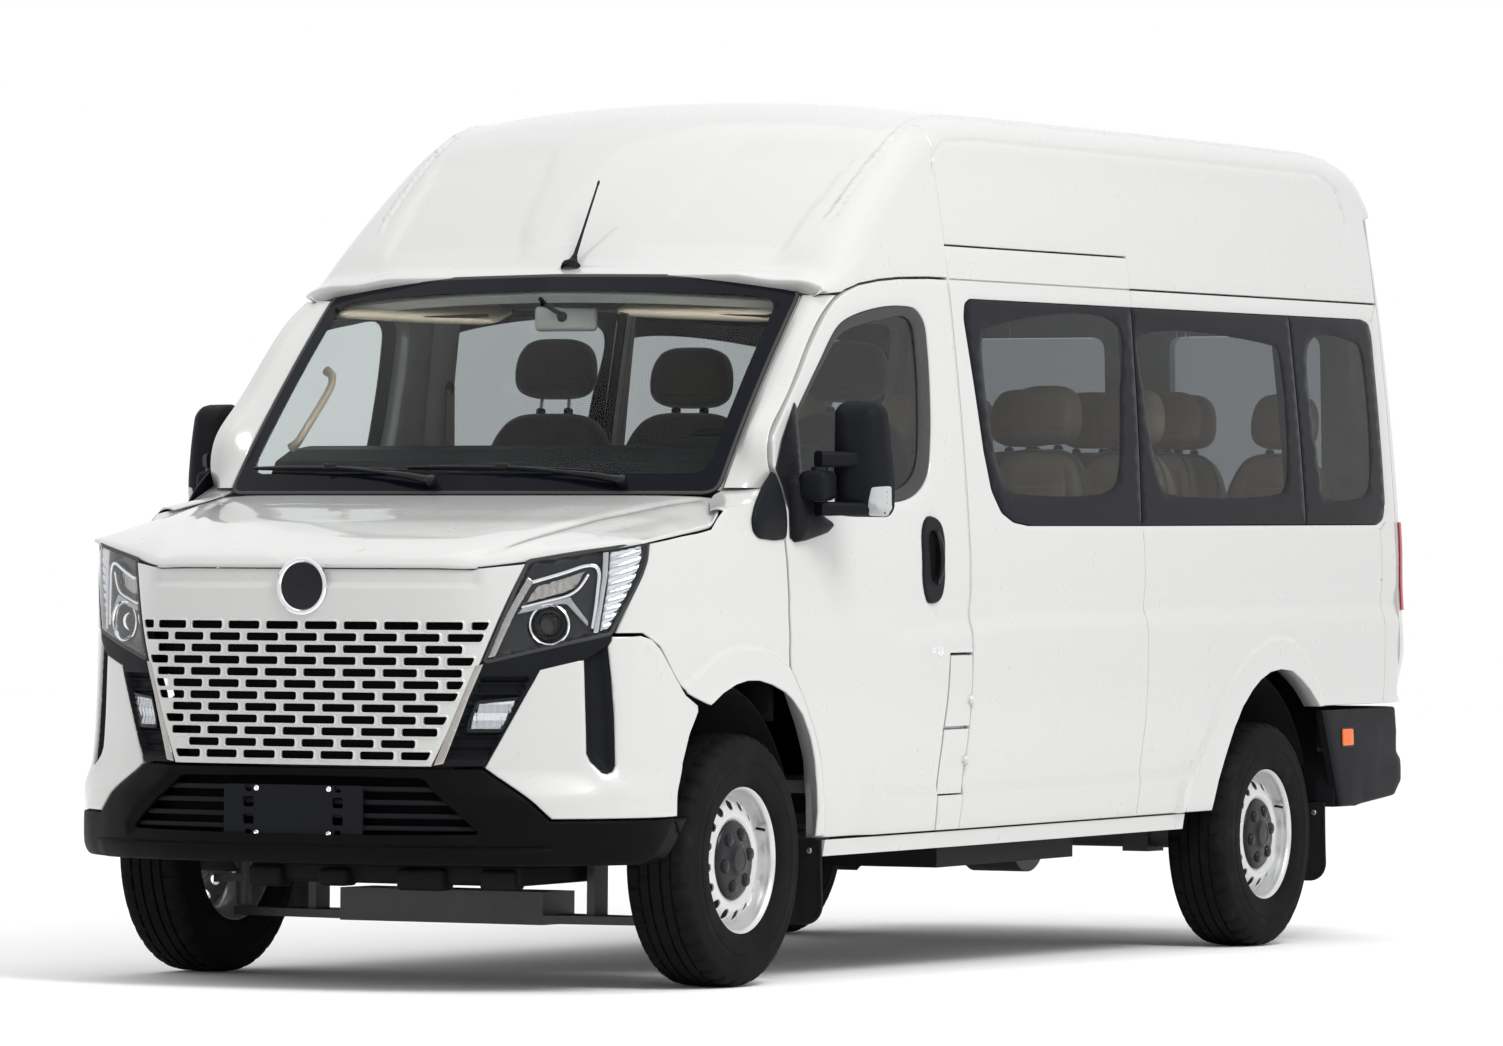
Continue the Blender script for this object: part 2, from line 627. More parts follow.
def shell(name, outline, holes, fmap, thick, body, mats, step=18.0, edge=4.0, extra=(), disp=None, sx=1, inner=True, slot=None,
          bstep=None, base=None, sharp=38.0, lipdepth=None, to=None):
    """A panel as a closed shell: its outer face with rolled edges, a flange all round, and an inner face."""
    V2, T, B, d = region(outline, holes, step, edge, extra, bstep)
    u, v = V2[:, 0], V2[:, 1]
    P = fmap(u, v)
    e = 2.0
    Pu = fmap(u + e, v) - fmap(u - e, v)
    Pv = fmap(u, v + e) - fmap(u, v - e)
    n = np.cross(Pu, Pv)
    n /= np.linalg.norm(n, axis=1)[:, None]
    flip = 1.0
    if np.isscalar(thick):
        if ((n * (P - P.mean(axis=0))).sum(axis=1)).mean() < 0:
            n, flip = -n, -1.0
        t = -n * thick
    else:
        t = np.asarray(thick, float)
        if (n @ t).mean() > 0:
            n, flip = -n, -1.0
    if disp is not None:
        P = P + n * disp(u, v)[:, None]
    P0 = P
    N_out = None
    if edge:
        def face(a, b):
            q0 = fmap(a, b)
            if disp is None:
                return q0
            m = np.cross(fmap(a + e, b) - fmap(a - e, b), fmap(a, b + e) - fmap(a, b - e)) * flip
            m /= np.maximum(1e-9, np.linalg.norm(m, axis=1))[:, None]
            return q0 + m * disp(a, b)[:, None]
        g = 1.2
        N_out = np.cross(face(u + g, v) - face(u - g, v), face(u, v + g) - face(u, v - g)) * flip
        N_out /= np.maximum(1e-9, np.linalg.norm(N_out, axis=1))[:, None]
        N_out[d < edge * 1.15] = 0.0
    if edge:
        q = np.clip(d / edge, 0, 1)
        P = P - n * ((lipdepth or edge) * (1 - np.sqrt(np.clip(1 - (1 - q)**2, 0, 1))))[:, None]
    N = len(P)
    Q = (base(u, v) if base is not None else P0) + t
    T1 = T if flip > 0 else T[:, ::-1]
    B1 = B if flip > 0 else B[:, ::-1]
    T2, mate = T1, np.arange(N)
    if inner and base is None and (abs(thick) if np.isscalar(thick) else float(np.linalg.norm(t))) >= 15.0:
        # a thick wall's inner face takes a coarser mesh on the same rim
        Vi, Ti, _, _ = region(outline, holes, max(step * 2.2, 55.0), 0, (), bstep or min(step, 14.0))
        at = {(round(float(a), 3), round(float(b), 3)): i for i, (a, b) in enumerate(Vi)}
        rim = np.unique(B)
        found = [at.get((round(float(u[i]), 3), round(float(v[i]), 3)), -1) for i in rim]
        if min(found) >= 0:
            a, b = Vi[:, 0], Vi[:, 1]
            Pi = fmap(a, b)
            ni = np.cross(fmap(a + e, b) - fmap(a - e, b), fmap(a, b + e) - fmap(a, b - e)) * flip
            ni /= np.linalg.norm(ni, axis=1)[:, None]
            if disp is not None:
                Pi = Pi + ni * disp(a, b)[:, None]
            Q = Pi + (-ni * thick if np.isscalar(thick) else t)
            T2 = Ti if flip > 0 else Ti[:, ::-1]
            mate = np.zeros(N, int)
            mate[rim] = found
    V3 = np.concatenate([P, Q])
    F = [tuple(r) for r in T1]
    mi = [0] * len(F)
    if inner:
        F += [tuple(r) for r in (T2[:, ::-1] + N)]
        mi += [1 if len(mats) > 1 else 0] * len(T2)
    F += [(b, a, mate[a] + N, mate[b] + N) for a, b in B1]
    mi += [0] * len(B1)
    if sx < 0:
        V3 = V3 * np.array([-1, 1, 1])
        F = [tuple(reversed(f)) for f in F]
    nn = None
    if N_out is not None:
        nn = np.concatenate([N_out, np.zeros((len(V3) - N, 3))])
        if sx < 0:
            nn = nn * np.array([-1, 1, 1])
        if to is None:
            nn = nn @ RK.T
    return make_obj(name, (to or W)(V3), F, mats, body, slot, mi, sharp, normals=nn)


def grid_mesh(name, P, mats, body, slot=None, close_u=False, close_v=False, flip=False, sharp=50.0, caps=False):
    """A mesh from a grid of body-frame points [nu][nv][3] in metres already placed."""
    P = np.asarray(P, float)
    nu, nv = P.shape[:2]
    F = []
    for i in range(nu if close_u else nu - 1):
        for j in range(nv if close_v else nv - 1):
            a, b, c, d = i * nv + j, ((i + 1) % nu) * nv + j, ((i + 1) % nu) * nv + (j + 1) % nv, i * nv + (j + 1) % nv
            F.append((a, b, c, d) if not flip else (d, c, b, a))
    if caps:
        r0, r1 = tuple(range(nv)), tuple((nu - 1) * nv + j for j in range(nv))
        F.append(r0 if not flip else r0[::-1])
        F.append(r1[::-1] if not flip else r1)
    return make_obj(name, P.reshape(-1, 3), F, mats, body, slot, None, sharp)


def tube(path, r, seg=12, closed=False):
    """Points of a tube round a path (N,3); r a number or one per point."""
    path = np.asarray(path, float)
    n = len(path)
    rr = np.full(n, r) if np.isscalar(r) else np.asarray(r, float)
    T = np.zeros_like(path)
    for i in range(n):
        a = path[(i - 1) % n] if closed else path[max(0, i - 1)]
        b = path[(i + 1) % n] if closed else path[min(n - 1, i + 1)]
        T[i] = (b - a) / max(1e-12, np.linalg.norm(b - a))
    up = np.array([0, 0, 1.0]) if abs(T[0][2]) < 0.9 else np.array([1.0, 0, 0])
    rings = []
    N = np.cross(T[0], up)
    N /= np.linalg.norm(N)
    for i in range(n):
        N = N - T[i] * (N @ T[i])
        N /= np.linalg.norm(N)
        Bn = np.cross(T[i], N)
        a = np.linspace(0, 2 * math.pi, seg, endpoint=False)
        rings.append(path[i] + rr[i] * (np.cos(a)[:, None] * N + np.sin(a)[:, None] * Bn))
    return np.array(rings)


def tube_obj(name, path, r, mat, body, slot=None, seg=12, closed=False):
    return grid_mesh(name, tube(path, r, seg, closed), [mat], body, slot, close_u=closed, close_v=True, caps=not closed)


def lathe(name, prof, axis_pt, axis, mat, body, slot=None, seg=64, to=None, fmat=None, sharp=30.0):
    """prof: (distance along axis, radius) pairs in mm, turned about the axis at axis_pt; placed with to()."""
    ax = np.asarray(axis, float)
    ax /= np.linalg.norm(ax)
    up = np.array([0, 0, 1.0]) if abs(ax[2]) < 0.9 else np.array([1.0, 0, 0])
    e1 = np.cross(ax, up)
    e1 /= np.linalg.norm(e1)
    e2 = np.cross(ax, e1)
    a = np.linspace(0, 2 * math.pi, seg, endpoint=False)
    rings = np.array([[np.asarray(axis_pt) + ax * h + max(r, 0.001) * (math.cos(t) * e1 + math.sin(t) * e2) for t in a] for h, r in prof])
    nu, nv = rings.shape[:2]
    P = (to or W)(rings.reshape(-1, 3)).reshape(nu, nv, 3)
    return grid_mesh(name, P, mat if isinstance(mat, list) else [mat], body, slot, close_v=True, sharp=sharp)


def rounded_box(name, lo, hi, r, mat, body, slot=None, to=None, seg=3, taper=None):
    bm = bmesh.new()
    bmesh.ops.create_cube(bm, size=1.0)
    lo, hi = np.asarray(lo, float), np.asarray(hi, float)
    for v in bm.verts:
        p = [(lo[i] + hi[i]) / 2 + v.co[i] * (hi[i] - lo[i]) for i in range(3)]
        v.co = p
    bmesh.ops.bevel(bm, geom=bm.edges[:], offset=min(r, 0.49 * float(min(hi - lo))), segments=seg, profile=0.5, affect='EDGES')
    V = np.array([v.co[:] for v in bm.verts])
    bm.verts.index_update()
    F = [tuple(v.index for v in f.verts) for f in bm.faces]
    bm.free()
    if taper is not None:
        V = taper(V)
    return make_obj(name, (to or W)(V), F, [mat], body, slot, None, 45.0)


def bevel(o, w=0.002, seg=2, ang=40):
    m = o.modifiers.new("edges", "BEVEL")
    m.width = w
    m.segments = seg
    m.limit_method = 'ANGLE'
    m.angle_limit = math.radians(ang)
    m.use_clamp_overlap = True
    m.harden_normals = False
    return m


# ---------------------------------------------------------------------------
# materials
# ---------------------------------------------------------------------------
def new_mat(name):
    m = bpy.data.materials.new(name)
    m.use_nodes = True
    nt = m.node_tree
    nt.nodes.clear()
    out = nt.nodes.new("ShaderNodeOutputMaterial")
    b = nt.nodes.new("ShaderNodeBsdfPrincipled")
    nt.links.new(b.outputs[0], out.inputs[0])
    MATS[name] = m
    return m, nt, b


def tex_noise(nt, scale, detail=3.0, rough=0.55, stretch=None):
    co = nt.nodes.new("ShaderNodeTexCoord")
    n = nt.nodes.new("ShaderNodeTexNoise")
    n.inputs["Scale"].default_value = scale
    n.inputs["Detail"].default_value = detail
    n.inputs["Roughness"].default_value = rough
    if stretch:
        mp = nt.nodes.new("ShaderNodeMapping")
        mp.inputs["Scale"].default_value = stretch
        nt.links.new(co.outputs["Object"], mp.inputs[0])
        nt.links.new(mp.outputs[0], n.inputs["Vector"])
    else:
        nt.links.new(co.outputs["Object"], n.inputs["Vector"])
    return n


def ramp(nt, src, stops):
    r = nt.nodes.new("ShaderNodeValToRGB")
    while len(r.color_ramp.elements) > 1:
        r.color_ramp.elements.remove(r.color_ramp.elements[-1])
    r.color_ramp.elements[0].position = stops[0][0]
    r.color_ramp.elements[0].color = (*stops[0][1], 1)
    for p, c in stops[1:]:
        e = r.color_ramp.elements.new(p)
        e.color = (*c, 1)
    nt.links.new(src, r.inputs[0])
    return r


def add_bump(nt, b, src, strength, dist=0.001, last=None):
    bp = nt.nodes.new("ShaderNodeBump")
    bp.inputs["Strength"].default_value = strength
    bp.inputs["Distance"].default_value = dist
    nt.links.new(src, bp.inputs["Height"])
    if last is not None:
        nt.links.new(last.outputs[0], bp.inputs["Normal"])
    nt.links.new(bp.outputs[0], b.inputs["Normal"])
    return bp


def simple(name, col, rough=0.5, metal=0.0, coat=0.0, var=0.06, nscale=6.0, bump=0.0, bscale=300.0, rvar=0.05, spec=0.5, bdist=0.0006, low=None, coat_rough=0.03):
    m, nt, b = new_mat(name)
    n = tex_noise(nt, nscale, 4.0)
    c0 = tuple(max(0.0, x * (1 - var)) for x in col)
    c1 = tuple(min(1.0, x * (1 + var)) for x in col)
    r = ramp(nt, n.outputs[0], [(0.3, c0), (0.7, c1)])
    nt.links.new(r.outputs[0], b.inputs["Base Color"])
    rr = nt.nodes.new("ShaderNodeMapRange")
    rr.inputs["From Min"].default_value = 0.3
    rr.inputs["From Max"].default_value = 0.7
    rr.inputs["To Min"].default_value = max(0.0, rough - rvar)
    rr.inputs["To Max"].default_value = min(1.0, rough + rvar)
    nt.links.new(n.outputs[0], rr.inputs["Value"])
    nt.links.new(rr.outputs[0], b.inputs["Roughness"])
    b.inputs["Metallic"].default_value = metal
    b.inputs["Coat Weight"].default_value = coat
    b.inputs["Coat Roughness"].default_value = coat_rough
    b.inputs["Specular IOR Level"].default_value = spec
    if bump:
        n2 = tex_noise(nt, bscale, 2.0)
        add_bump(nt, b, n2.outputs[0], bump, bdist)
    return m


def build_materials():
    # white paint with a very light orange peel and road film towards the sills
    m, nt, b = new_mat("paint")
    co = nt.nodes.new("ShaderNodeTexCoord")
    sep = nt.nodes.new("ShaderNodeSeparateXYZ")
    nt.links.new(co.outputs["Object"], sep.inputs[0])
    mr = nt.nodes.new("ShaderNodeMapRange")
    mr.inputs["From Min"].default_value = 0.30
    mr.inputs["From Max"].default_value = 0.75
    mr.inputs["To Min"].default_value = 1.0
    mr.inputs["To Max"].default_value = 0.0
    nt.links.new(sep.outputs["Z"], mr.inputs["Value"])
    n = tex_noise(nt, 3.0, 5.0)
    mul = nt.nodes.new("ShaderNodeMath")
    mul.operation = 'MULTIPLY'
    nt.links.new(mr.outputs[0], mul.inputs[0])
    nt.links.new(n.outputs[0], mul.inputs[1])
    r = ramp(nt, mul.outputs[0], [(0.0, (0.470, 0.476, 0.466)), (0.55, (0.464, 0.467, 0.455)), (1.0, (0.41, 0.41, 0.395))])
    nt.links.new(r.outputs[0], b.inputs["Base Color"])
    n3 = tex_noise(nt, 9.0, 3.0)
    rr = nt.nodes.new("ShaderNodeMapRange")
    rr.inputs["To Min"].default_value = 0.24
    rr.inputs["To Max"].default_value = 0.34
    nt.links.new(n3.outputs[0], rr.inputs["Value"])
    nt.links.new(rr.outputs[0], b.inputs["Roughness"])
    b.inputs["Coat Weight"].default_value = 0.9
    b.inputs["Coat Roughness"].default_value = 0.04
    n2 = tex_noise(nt, 420.0, 1.0)
    add_bump(nt, b, n2.outputs[0], 0.012, 0.0006)

    simple("liner", (0.30, 0.30, 0.295), 0.75, bump=0.3, bscale=900)
    simple("trim_grey", (0.36, 0.35, 0.33), 0.7, bump=0.25, bscale=800)
    simple("trim_beige", (0.58, 0.48, 0.37), 0.62, bump=0.2, bscale=800)
    simple("plastic", (0.0085, 0.009, 0.011), 0.50, bump=0.35, bscale=950, rvar=0.06, spec=0.06)
    simple("plastic_front", (0.0025, 0.0027, 0.0030), 0.50, bump=0.35, bscale=950, rvar=0.06, spec=0.05)
    simple("plastic_smooth", (0.007, 0.0075, 0.009), 0.28, bump=0.02, bscale=500, spec=0.22)
    simple("gloss_black", (0.0050, 0.0055, 0.0085), 0.07, rvar=0.02, spec=0.055)
    simple("deep_black", (0.003, 0.003, 0.003), 0.85, bump=0.1, spec=0.08)
    simple("rubber", (0.010, 0.010, 0.011), 0.72, bump=0.3, bscale=700, spec=0.18)
    simple("underbody", (0.009, 0.009, 0.0095), 0.62, bump=0.5, bscale=240, nscale=12, var=0.25, spec=0.15)
    simple("cast", (0.10, 0.10, 0.105), 0.55, metal=0.7, bump=0.5, bscale=180, var=0.2)
    simple("steel", (0.35, 0.34, 0.32), 0.42, metal=0.9, bump=0.15, bscale=220, var=0.2)
    simple("chrome", (0.80, 0.81, 0.83), 0.10, metal=1.0, var=0.03, rvar=0.03)
    simple("satin_metal", (0.42, 0.40, 0.38), 0.27, metal=1.0, var=0.05)
    simple("reflector", (0.55, 0.56, 0.58), 0.13, metal=1.0, var=0.04, bump=0.15, bscale=160)
    simple("lamp_bezel", (0.018, 0.019, 0.023), 0.30, bump=0.05, spec=0.3)
    simple("lamp_white", (0.36, 0.37, 0.375), 0.25, coat=0.4)
    simple("amber", (0.84, 0.115, 0.001), 0.30, coat=0.15, bump=0.3, bscale=140, bdist=0.001, spec=0.25)
    simple("floor_mat", (0.16, 0.16, 0.165), 0.85, bump=0.5, bscale=260)
    simple("headliner", (0.62, 0.60, 0.57), 0.92, bump=0.35, bscale=700)
    simple("mirror", (0.9, 0.9, 0.9), 0.02, metal=1.0, var=0.01, rvar=0.0)

    # sprayed silver wheels
    m, nt, b = new_mat("wheel_paint")
    n = tex_noise(nt, 900.0, 1.0)
    r = ramp(nt, n.outputs[0], [(0.3, (0.53, 0.533, 0.537)), (0.7, (0.61, 0.614, 0.618))])
    nt.links.new(r.outputs[0], b.inputs["Base Color"])
    n2 = tex_noise(nt, 14.0, 3.0)
    rr = nt.nodes.new("ShaderNodeMapRange")
    rr.inputs["To Min"].default_value = 0.26
    rr.inputs["To Max"].default_value = 0.40
    nt.links.new(n2.outputs[0], rr.inputs["Value"])
    nt.links.new(rr.outputs[0], b.inputs["Roughness"])
    b.inputs["Metallic"].default_value = 0.55
    b.inputs["Coat Weight"].default_value = 0.3

    # tyre rubber, a bit dusty
    m, nt, b = new_mat("tyre")
    n = tex_noise(nt, 10.0, 6.0, 0.65)
    r = ramp(nt, n.outputs[0], [(0.30, (0.0055, 0.0055, 0.006)), (0.6, (0.009, 0.0088, 0.0086)), (0.8, (0.020, 0.0195, 0.018))])
    nt.links.new(r.outputs[0], b.inputs["Base Color"])
    b.inputs["Roughness"].default_value = 0.74
    b.inputs["Specular IOR Level"].default_value = 0.05
    n2 = tex_noise(nt, 380.0, 2.0)
    add_bump(nt, b, n2.outputs[0], 0.25, 0.0008)

    # glass: clear, tinted and lens
    def glassy(name, col, rough, alpha_t, ior=1.45, bump=0.0, bscale=60):
        m, nt, b = new_mat(name)
        n = tex_noise(nt, 2.0, 2.0)
        c0 = tuple(x * 0.96 for x in col)
        r = ramp(nt, n.outputs[0], [(0.3, c0), (0.7, col)])
        nt.links.new(r.outputs[0], b.inputs["Base Color"])
        b.inputs["Roughness"].default_value = rough
        b.inputs["Transmission Weight"].default_value = alpha_t
        b.inputs["IOR"].default_value = ior
        if bump:
            n2 = tex_noise(nt, bscale, 1.0)
            add_bump(nt, b, n2.outputs[0], bump, 0.002)
        return m
    glassy("glass", (0.90, 0.94, 0.93), 0.0, 1.0, 1.13)
    glassy("glass_tint", (0.36, 0.375, 0.385), 0.0, 1.0, 1.15)
    glassy("glass_door", (0.62, 0.655, 0.655), 0.0, 1.0, 1.17)
    glassy("lens", (0.96, 0.97, 0.98), 0.01, 1.0, 1.22)
    glassy("red_lens", (0.38, 0.004, 0.005), 0.10, 0.15, 1.38, 0.4, 90)

    # seat cloth: fine woven taupe
    m, nt, b = new_mat("cloth")
    co = nt.nodes.new("ShaderNodeTexCoord")
    w1 = nt.nodes.new("ShaderNodeTexWave")
    w1.bands_direction = 'Z'
    w1.inputs["Scale"].default_value = 260.0
    w1.inputs["Distortion"].default_value = 0.6
    w2 = nt.nodes.new("ShaderNodeTexWave")
    w2.bands_direction = 'X'
    w2.inputs["Scale"].default_value = 260.0
    w2.inputs["Distortion"].default_value = 0.6
    for w in (w1, w2):
        nt.links.new(co.outputs["Object"], w.inputs["Vector"])
    mx = nt.nodes.new("ShaderNodeMath")
    mx.operation = 'MAXIMUM'
    nt.links.new(w1.outputs["Fac"], mx.inputs[0])
    nt.links.new(w2.outputs["Fac"], mx.inputs[1])
    n = tex_noise(nt, 7.0, 4.0)
    ad = nt.nodes.new("ShaderNodeMath")
    ad.operation = 'MULTIPLY_ADD'
    ad.inputs[1].default_value = 0.5
    nt.links.new(mx.outputs[0], ad.inputs[0])
    nt.links.new(n.outputs[0], ad.inputs[2])
    r = ramp(nt, ad.outputs[0], [(0.35, (0.027, 0.023, 0.021)), (0.9, (0.052, 0.045, 0.041))])
    nt.links.new(r.outputs[0], b.inputs["Base Color"])
    b.inputs["Roughness"].default_value = 0.9
    b.inputs["Sheen Weight"].default_value = 0.35
    add_bump(nt, b, mx.outputs[0], 0.35, 0.0008)

    # beige leather with a fine grain
    m, nt, b = new_mat("leather")
    v = nt.nodes.new("ShaderNodeTexVoronoi")
    v.feature = 'DISTANCE_TO_EDGE'
    v.inputs["Scale"].default_value = 330.0
    co = nt.nodes.new("ShaderNodeTexCoord")
    nt.links.new(co.outputs["Object"], v.inputs["Vector"])
    n = tex_noise(nt, 8.0, 5.0)
    r = ramp(nt, n.outputs[0], [(0.3, (0.50, 0.385, 0.265)), (0.7, (0.60, 0.475, 0.34))])
    nt.links.new(r.outputs[0], b.inputs["Base Color"])
    rr = nt.nodes.new("ShaderNodeMapRange")
    rr.inputs["To Min"].default_value = 0.38
    rr.inputs["To Max"].default_value = 0.52
    nt.links.new(n.outputs[0], rr.inputs["Value"])
    nt.links.new(rr.outputs[0], b.inputs["Roughness"])
    add_bump(nt, b, v.outputs["Distance"], 0.3, 0.0006)

    # perforated grey wind deflector, seals
    simple("seal", (0.014, 0.014, 0.015), 0.55, bump=0.15, bscale=600)


build_materials()


def paint_nodes(names, mat, bev=0.0):
    for nme in names:
        o = NODES[nme]
        if o.data.materials:
            for i in range(len(o.data.materials)):
                o.data.materials[i] = MATS[mat]
        else:
            o.data.materials.append(MATS[mat])
        if bev:
            bevel(o, bev)


# ---------------------------------------------------------------------------
# details of the side skin, in mm outwards from the CAD surface
# ---------------------------------------------------------------------------
BELT = np.array([(764, 993), (956, 1023), (1164, 1041), (1373, 1051), (1643, 1066), (2620, 1070), (4465, 1067), (4600, 1066)], float)
CREASE = np.array([(640, 640), (715, 618), (769, 596), (838, 545), (925, 527), (1358, 524), (2605, 529), (2849, 532), (2922, 539), (2973, 569), (3014, 631)], float)
FLARE_R = [(2927, 523), (2993, 553), (3050, 614), (3125, 739), (3224, 831), (3372, 918), (3526, 960), (3605, 966), (3700, 952), (3807, 902), (3893, 837), (3964, 755), (3994, 728)]
FLARE_F = [(-700, 846), (-420, 846), (-290, 911), (-210, 957), (-127, 976), (-42, 980), (44, 973), (132, 953), (222, 914), (285, 851), (370, 749), (443, 648), (493, 531), (527, 419)]
FLARE_R_POLY = FLARE_R + [(4300, 300), (2900, 300)]
FLARE_F_POLY = FLARE_F + [(527, 250), (-700, 250)]


def side_disp(y, z):
    P = np.stack([y, z], 1)
    d = np.zeros(len(P))
    zb = np.interp(y, BELT[:, 0], BELT[:, 1])
    t = z - zb
    f = smooth(y, 740, 1000)
    d += f * (-9.0) * np.where(t < 0, 1 - smooth(-t, 2, 62), np.exp(-(np.clip(t, 0, 160) / 42.0)**2))
    zl = np.interp(y, CREASE[:, 0], CREASE[:, 1])
    f2 = smooth(y, 700, 840) * (1 - smooth(y, 2940, 3005))
    d += f2 * 8.0 * (1 - smooth(z - zl, -2, 34))
    for poly, line in ((FLARE_R_POLY, FLARE_R), (FLARE_F_POLY, FLARE_F)):
        lo = min(p[0] for p in line) - 60
        hi = max(p[0] for p in line) + 60
        m = (y > lo) & (y < hi)
        if m.any():
            dist = seg_dist(line, P[m], closed=False)
            ins = inside(poly, P[m])
            sd = np.where(ins, dist, -dist)
            d[m] += 11.0 * smooth(sd, -6, 14)
    return d


def side_map(y, z):
    return np.stack([side_x(y, z), y, z], 1)


def side_extra():
    ex = []
    for L, off in ((BELT, (-66, -54, -42, -30, -20, -12, -6, -2, 2, 8, 18, 32, 50, 74)), (CREASE, (-8, -3, 2, 8, 15, 23, 31, 37, 46))):
        ys = np.arange(max(640, L[0, 0]), L[-1, 0], 24.0)
        zz = np.interp(ys, L[:, 0], L[:, 1])
        for o in off:
            ex += list(zip(ys, zz + o))
    for line in (FLARE_R, FLARE_F[2:]):
        for o in (-14, -5, 3, 10, 18, 26):
            q = grow_line(list(line) + [(line[-1][0], 0), (line[0][0], 0)], o)[:len(line)]
            q = np.array(q)
            s = np.concatenate([[0], np.cumsum(np.hypot(*np.diff(q, axis=0).T))])
            u = np.arange(0, s[-1], 14.0)
            ex += list(zip(np.interp(u, s, q[:, 0]), np.interp(u, s, q[:, 1])))
    return ex


SIDE_EX = side_extra()


def clip_poly(poly, axis, val, keep_less):
    """Cut a polygon by a line parallel to an axis."""
    out = []
    n = len(poly)
    for i in range(n):
        a, b = poly[i], poly[(i + 1) % n]
        ia = (a[axis] <= val) == keep_less
        ib = (b[axis] <= val) == keep_less
        if ia:
            out.append(a)
        if ia != ib:
            t = (val - a[axis]) / (b[axis] - a[axis])
            out.append((a[0] + (b[0] - a[0]) * t, a[1] + (b[1] - a[1]) * t))
    return out


SEAM = np.array([(2618, 419), (2618, 423), (2614, 560), (2588, 1320), (2644, 1996), (2641, 2151)], float)


def seam_y(z):
    return float(np.interp(z, SEAM[:, 1], SEAM[:, 0]))


def groove(line, P, w=3.0, depth=5.0):
    d = seg_dist(line, P, closed=False)
    return -depth * (1 - smooth(d, w * 0.4, w))


def arch_top(arch, z0, y0=None, y1=None):
    """The part of an arch outline above z0, from front to rear."""
    pts = clip_poly(list(arch), 1, z0, False)
    pts = [p for p in pts]
    pts.sort(key=lambda p: p[0])
    return pts


T_WALL = np.array([-58.0, 0, 0])
shell("sill_patch", [(1216, 422), (1363, 422), (1363, 524), (1203, 524)], [], side_map, T_WALL, "body", ["paint", "trim_grey"], step=14, edge=3.0, disp=side_disp, slot="white_paint")
shell("flap_backing", [(1206, 530), (1363, 530), (1363, 938), (1222, 938), (1216, 806), (1204, 723)], [], lambda y, z: side_map(y, z) - np.array([18.0, 0, 0]), np.array([-30.0, 0, 0]), "body",
      ["paint", "trim_grey"], step=40, edge=0, slot="white_paint")

# --- front doors -----------------------------------------------------------------
WIN_HOLE = flow(grow_line(DOOR_WIN, 5.0), 18)


def door_outline(base, arch_gap=4.0):
    return grow_line(base, -2.5)


def door_disp(y, z):
    d = side_disp(y, z)
    P = np.stack([y, z], 1)
    # the window frame stands a little proud of a shallow recess round the glass
    w = seg_dist(WIN_HOLE, P)
    d = d - 5.0 * np.exp(-(w / 14.0)**2)
    d = d + groove([(1351, 960), (1350, 2036)], P, 2.6, 3.5)
    # dish behind the handle
    hd = np.hypot((y - 1118) / 62.0, (z - 1215) / 150.0)
    d = d - 7.0 * (1 - smooth(hd, 0.75, 1.15))
    return d


HANDLE_EX = [(1351 + o_, z_) for o_ in (-4.5, -2.6, -1.3, 0, 1.3, 2.6, 4.5) for z_ in np.arange(965, 2034, 12.0)] + [(1118 + 62 * r * math.cos(a), 1215 + 150 * r * math.sin(a)) for r in (0.55, 0.75, 0.85, 0.95, 1.05, 1.15) for a in np.linspace(0, 2 * math.pi, 40, endpoint=False)]
WIN_EX = [p for g in (9, 16, 24, 34) for p in grow_line(WIN_HOLE, g)]
for sgn, tag, base in ((1, "left", DOOR_L), (-1, "right", DOOR_R)):
    o = shell("door_skin_" + tag, door_outline(base), [WIN_HOLE], side_map, T_WALL, "front_door_" + tag, ["paint", "trim_grey"],
              step=20, edge=5.0, extra=SIDE_EX + HANDLE_EX + WIN_EX, disp=door_disp, sx=sgn, slot="white_paint")
    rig.replaces(o, "front_door_" + tag)

# --- body sides ----------------------------------------------------------------------
low = [(1366.5, 421.5), (3150, 421.5)]
arch = [(3184, 421.5), (3203, 516), (3237, 603), (3271, 682), (3316, 744), (3384, 797), (3442, 828), (3518, 852), (3604, 860), (3691, 853), (3775, 822), (3844, 789), (3899, 756), (3930, 735)]


def side_outline(right):
    p = [(1366.5, 421.5)] if not right else []
    if not right:
        p += arch
    else:
        p += [(2618, 421.5)] + arch
    p += [(4600, 735), (4600, 2048), (2646, 2048), (2646, 2148.5)]
    if not right:
        p += [(1366.5, 2148.5)]
    else:
        p += [(1366.5, 2148.5), (1366.5, 2045), (2618, 2045)]
    return p


BAND_HOLE = grow_line(soften(BAND, 14, 3), 1.5)
FILL_HOLE_UP, FILL_HOLE_LOW = grow_line(FLAP_UP, 3.0), grow_line(FLAP_LOW, 3.0)


def side_panel_disp(y, z):
    P = np.stack([y, z], 1)
    d = side_disp(y, z)
    w = seg_dist(BAND_HOLE, P)
    d = d - 4.0 * np.exp(-(w / 10.0)**2)
    for ln in GROOVES:
        d = d + groove(ln, P, 2.6, 6.0)
    return d


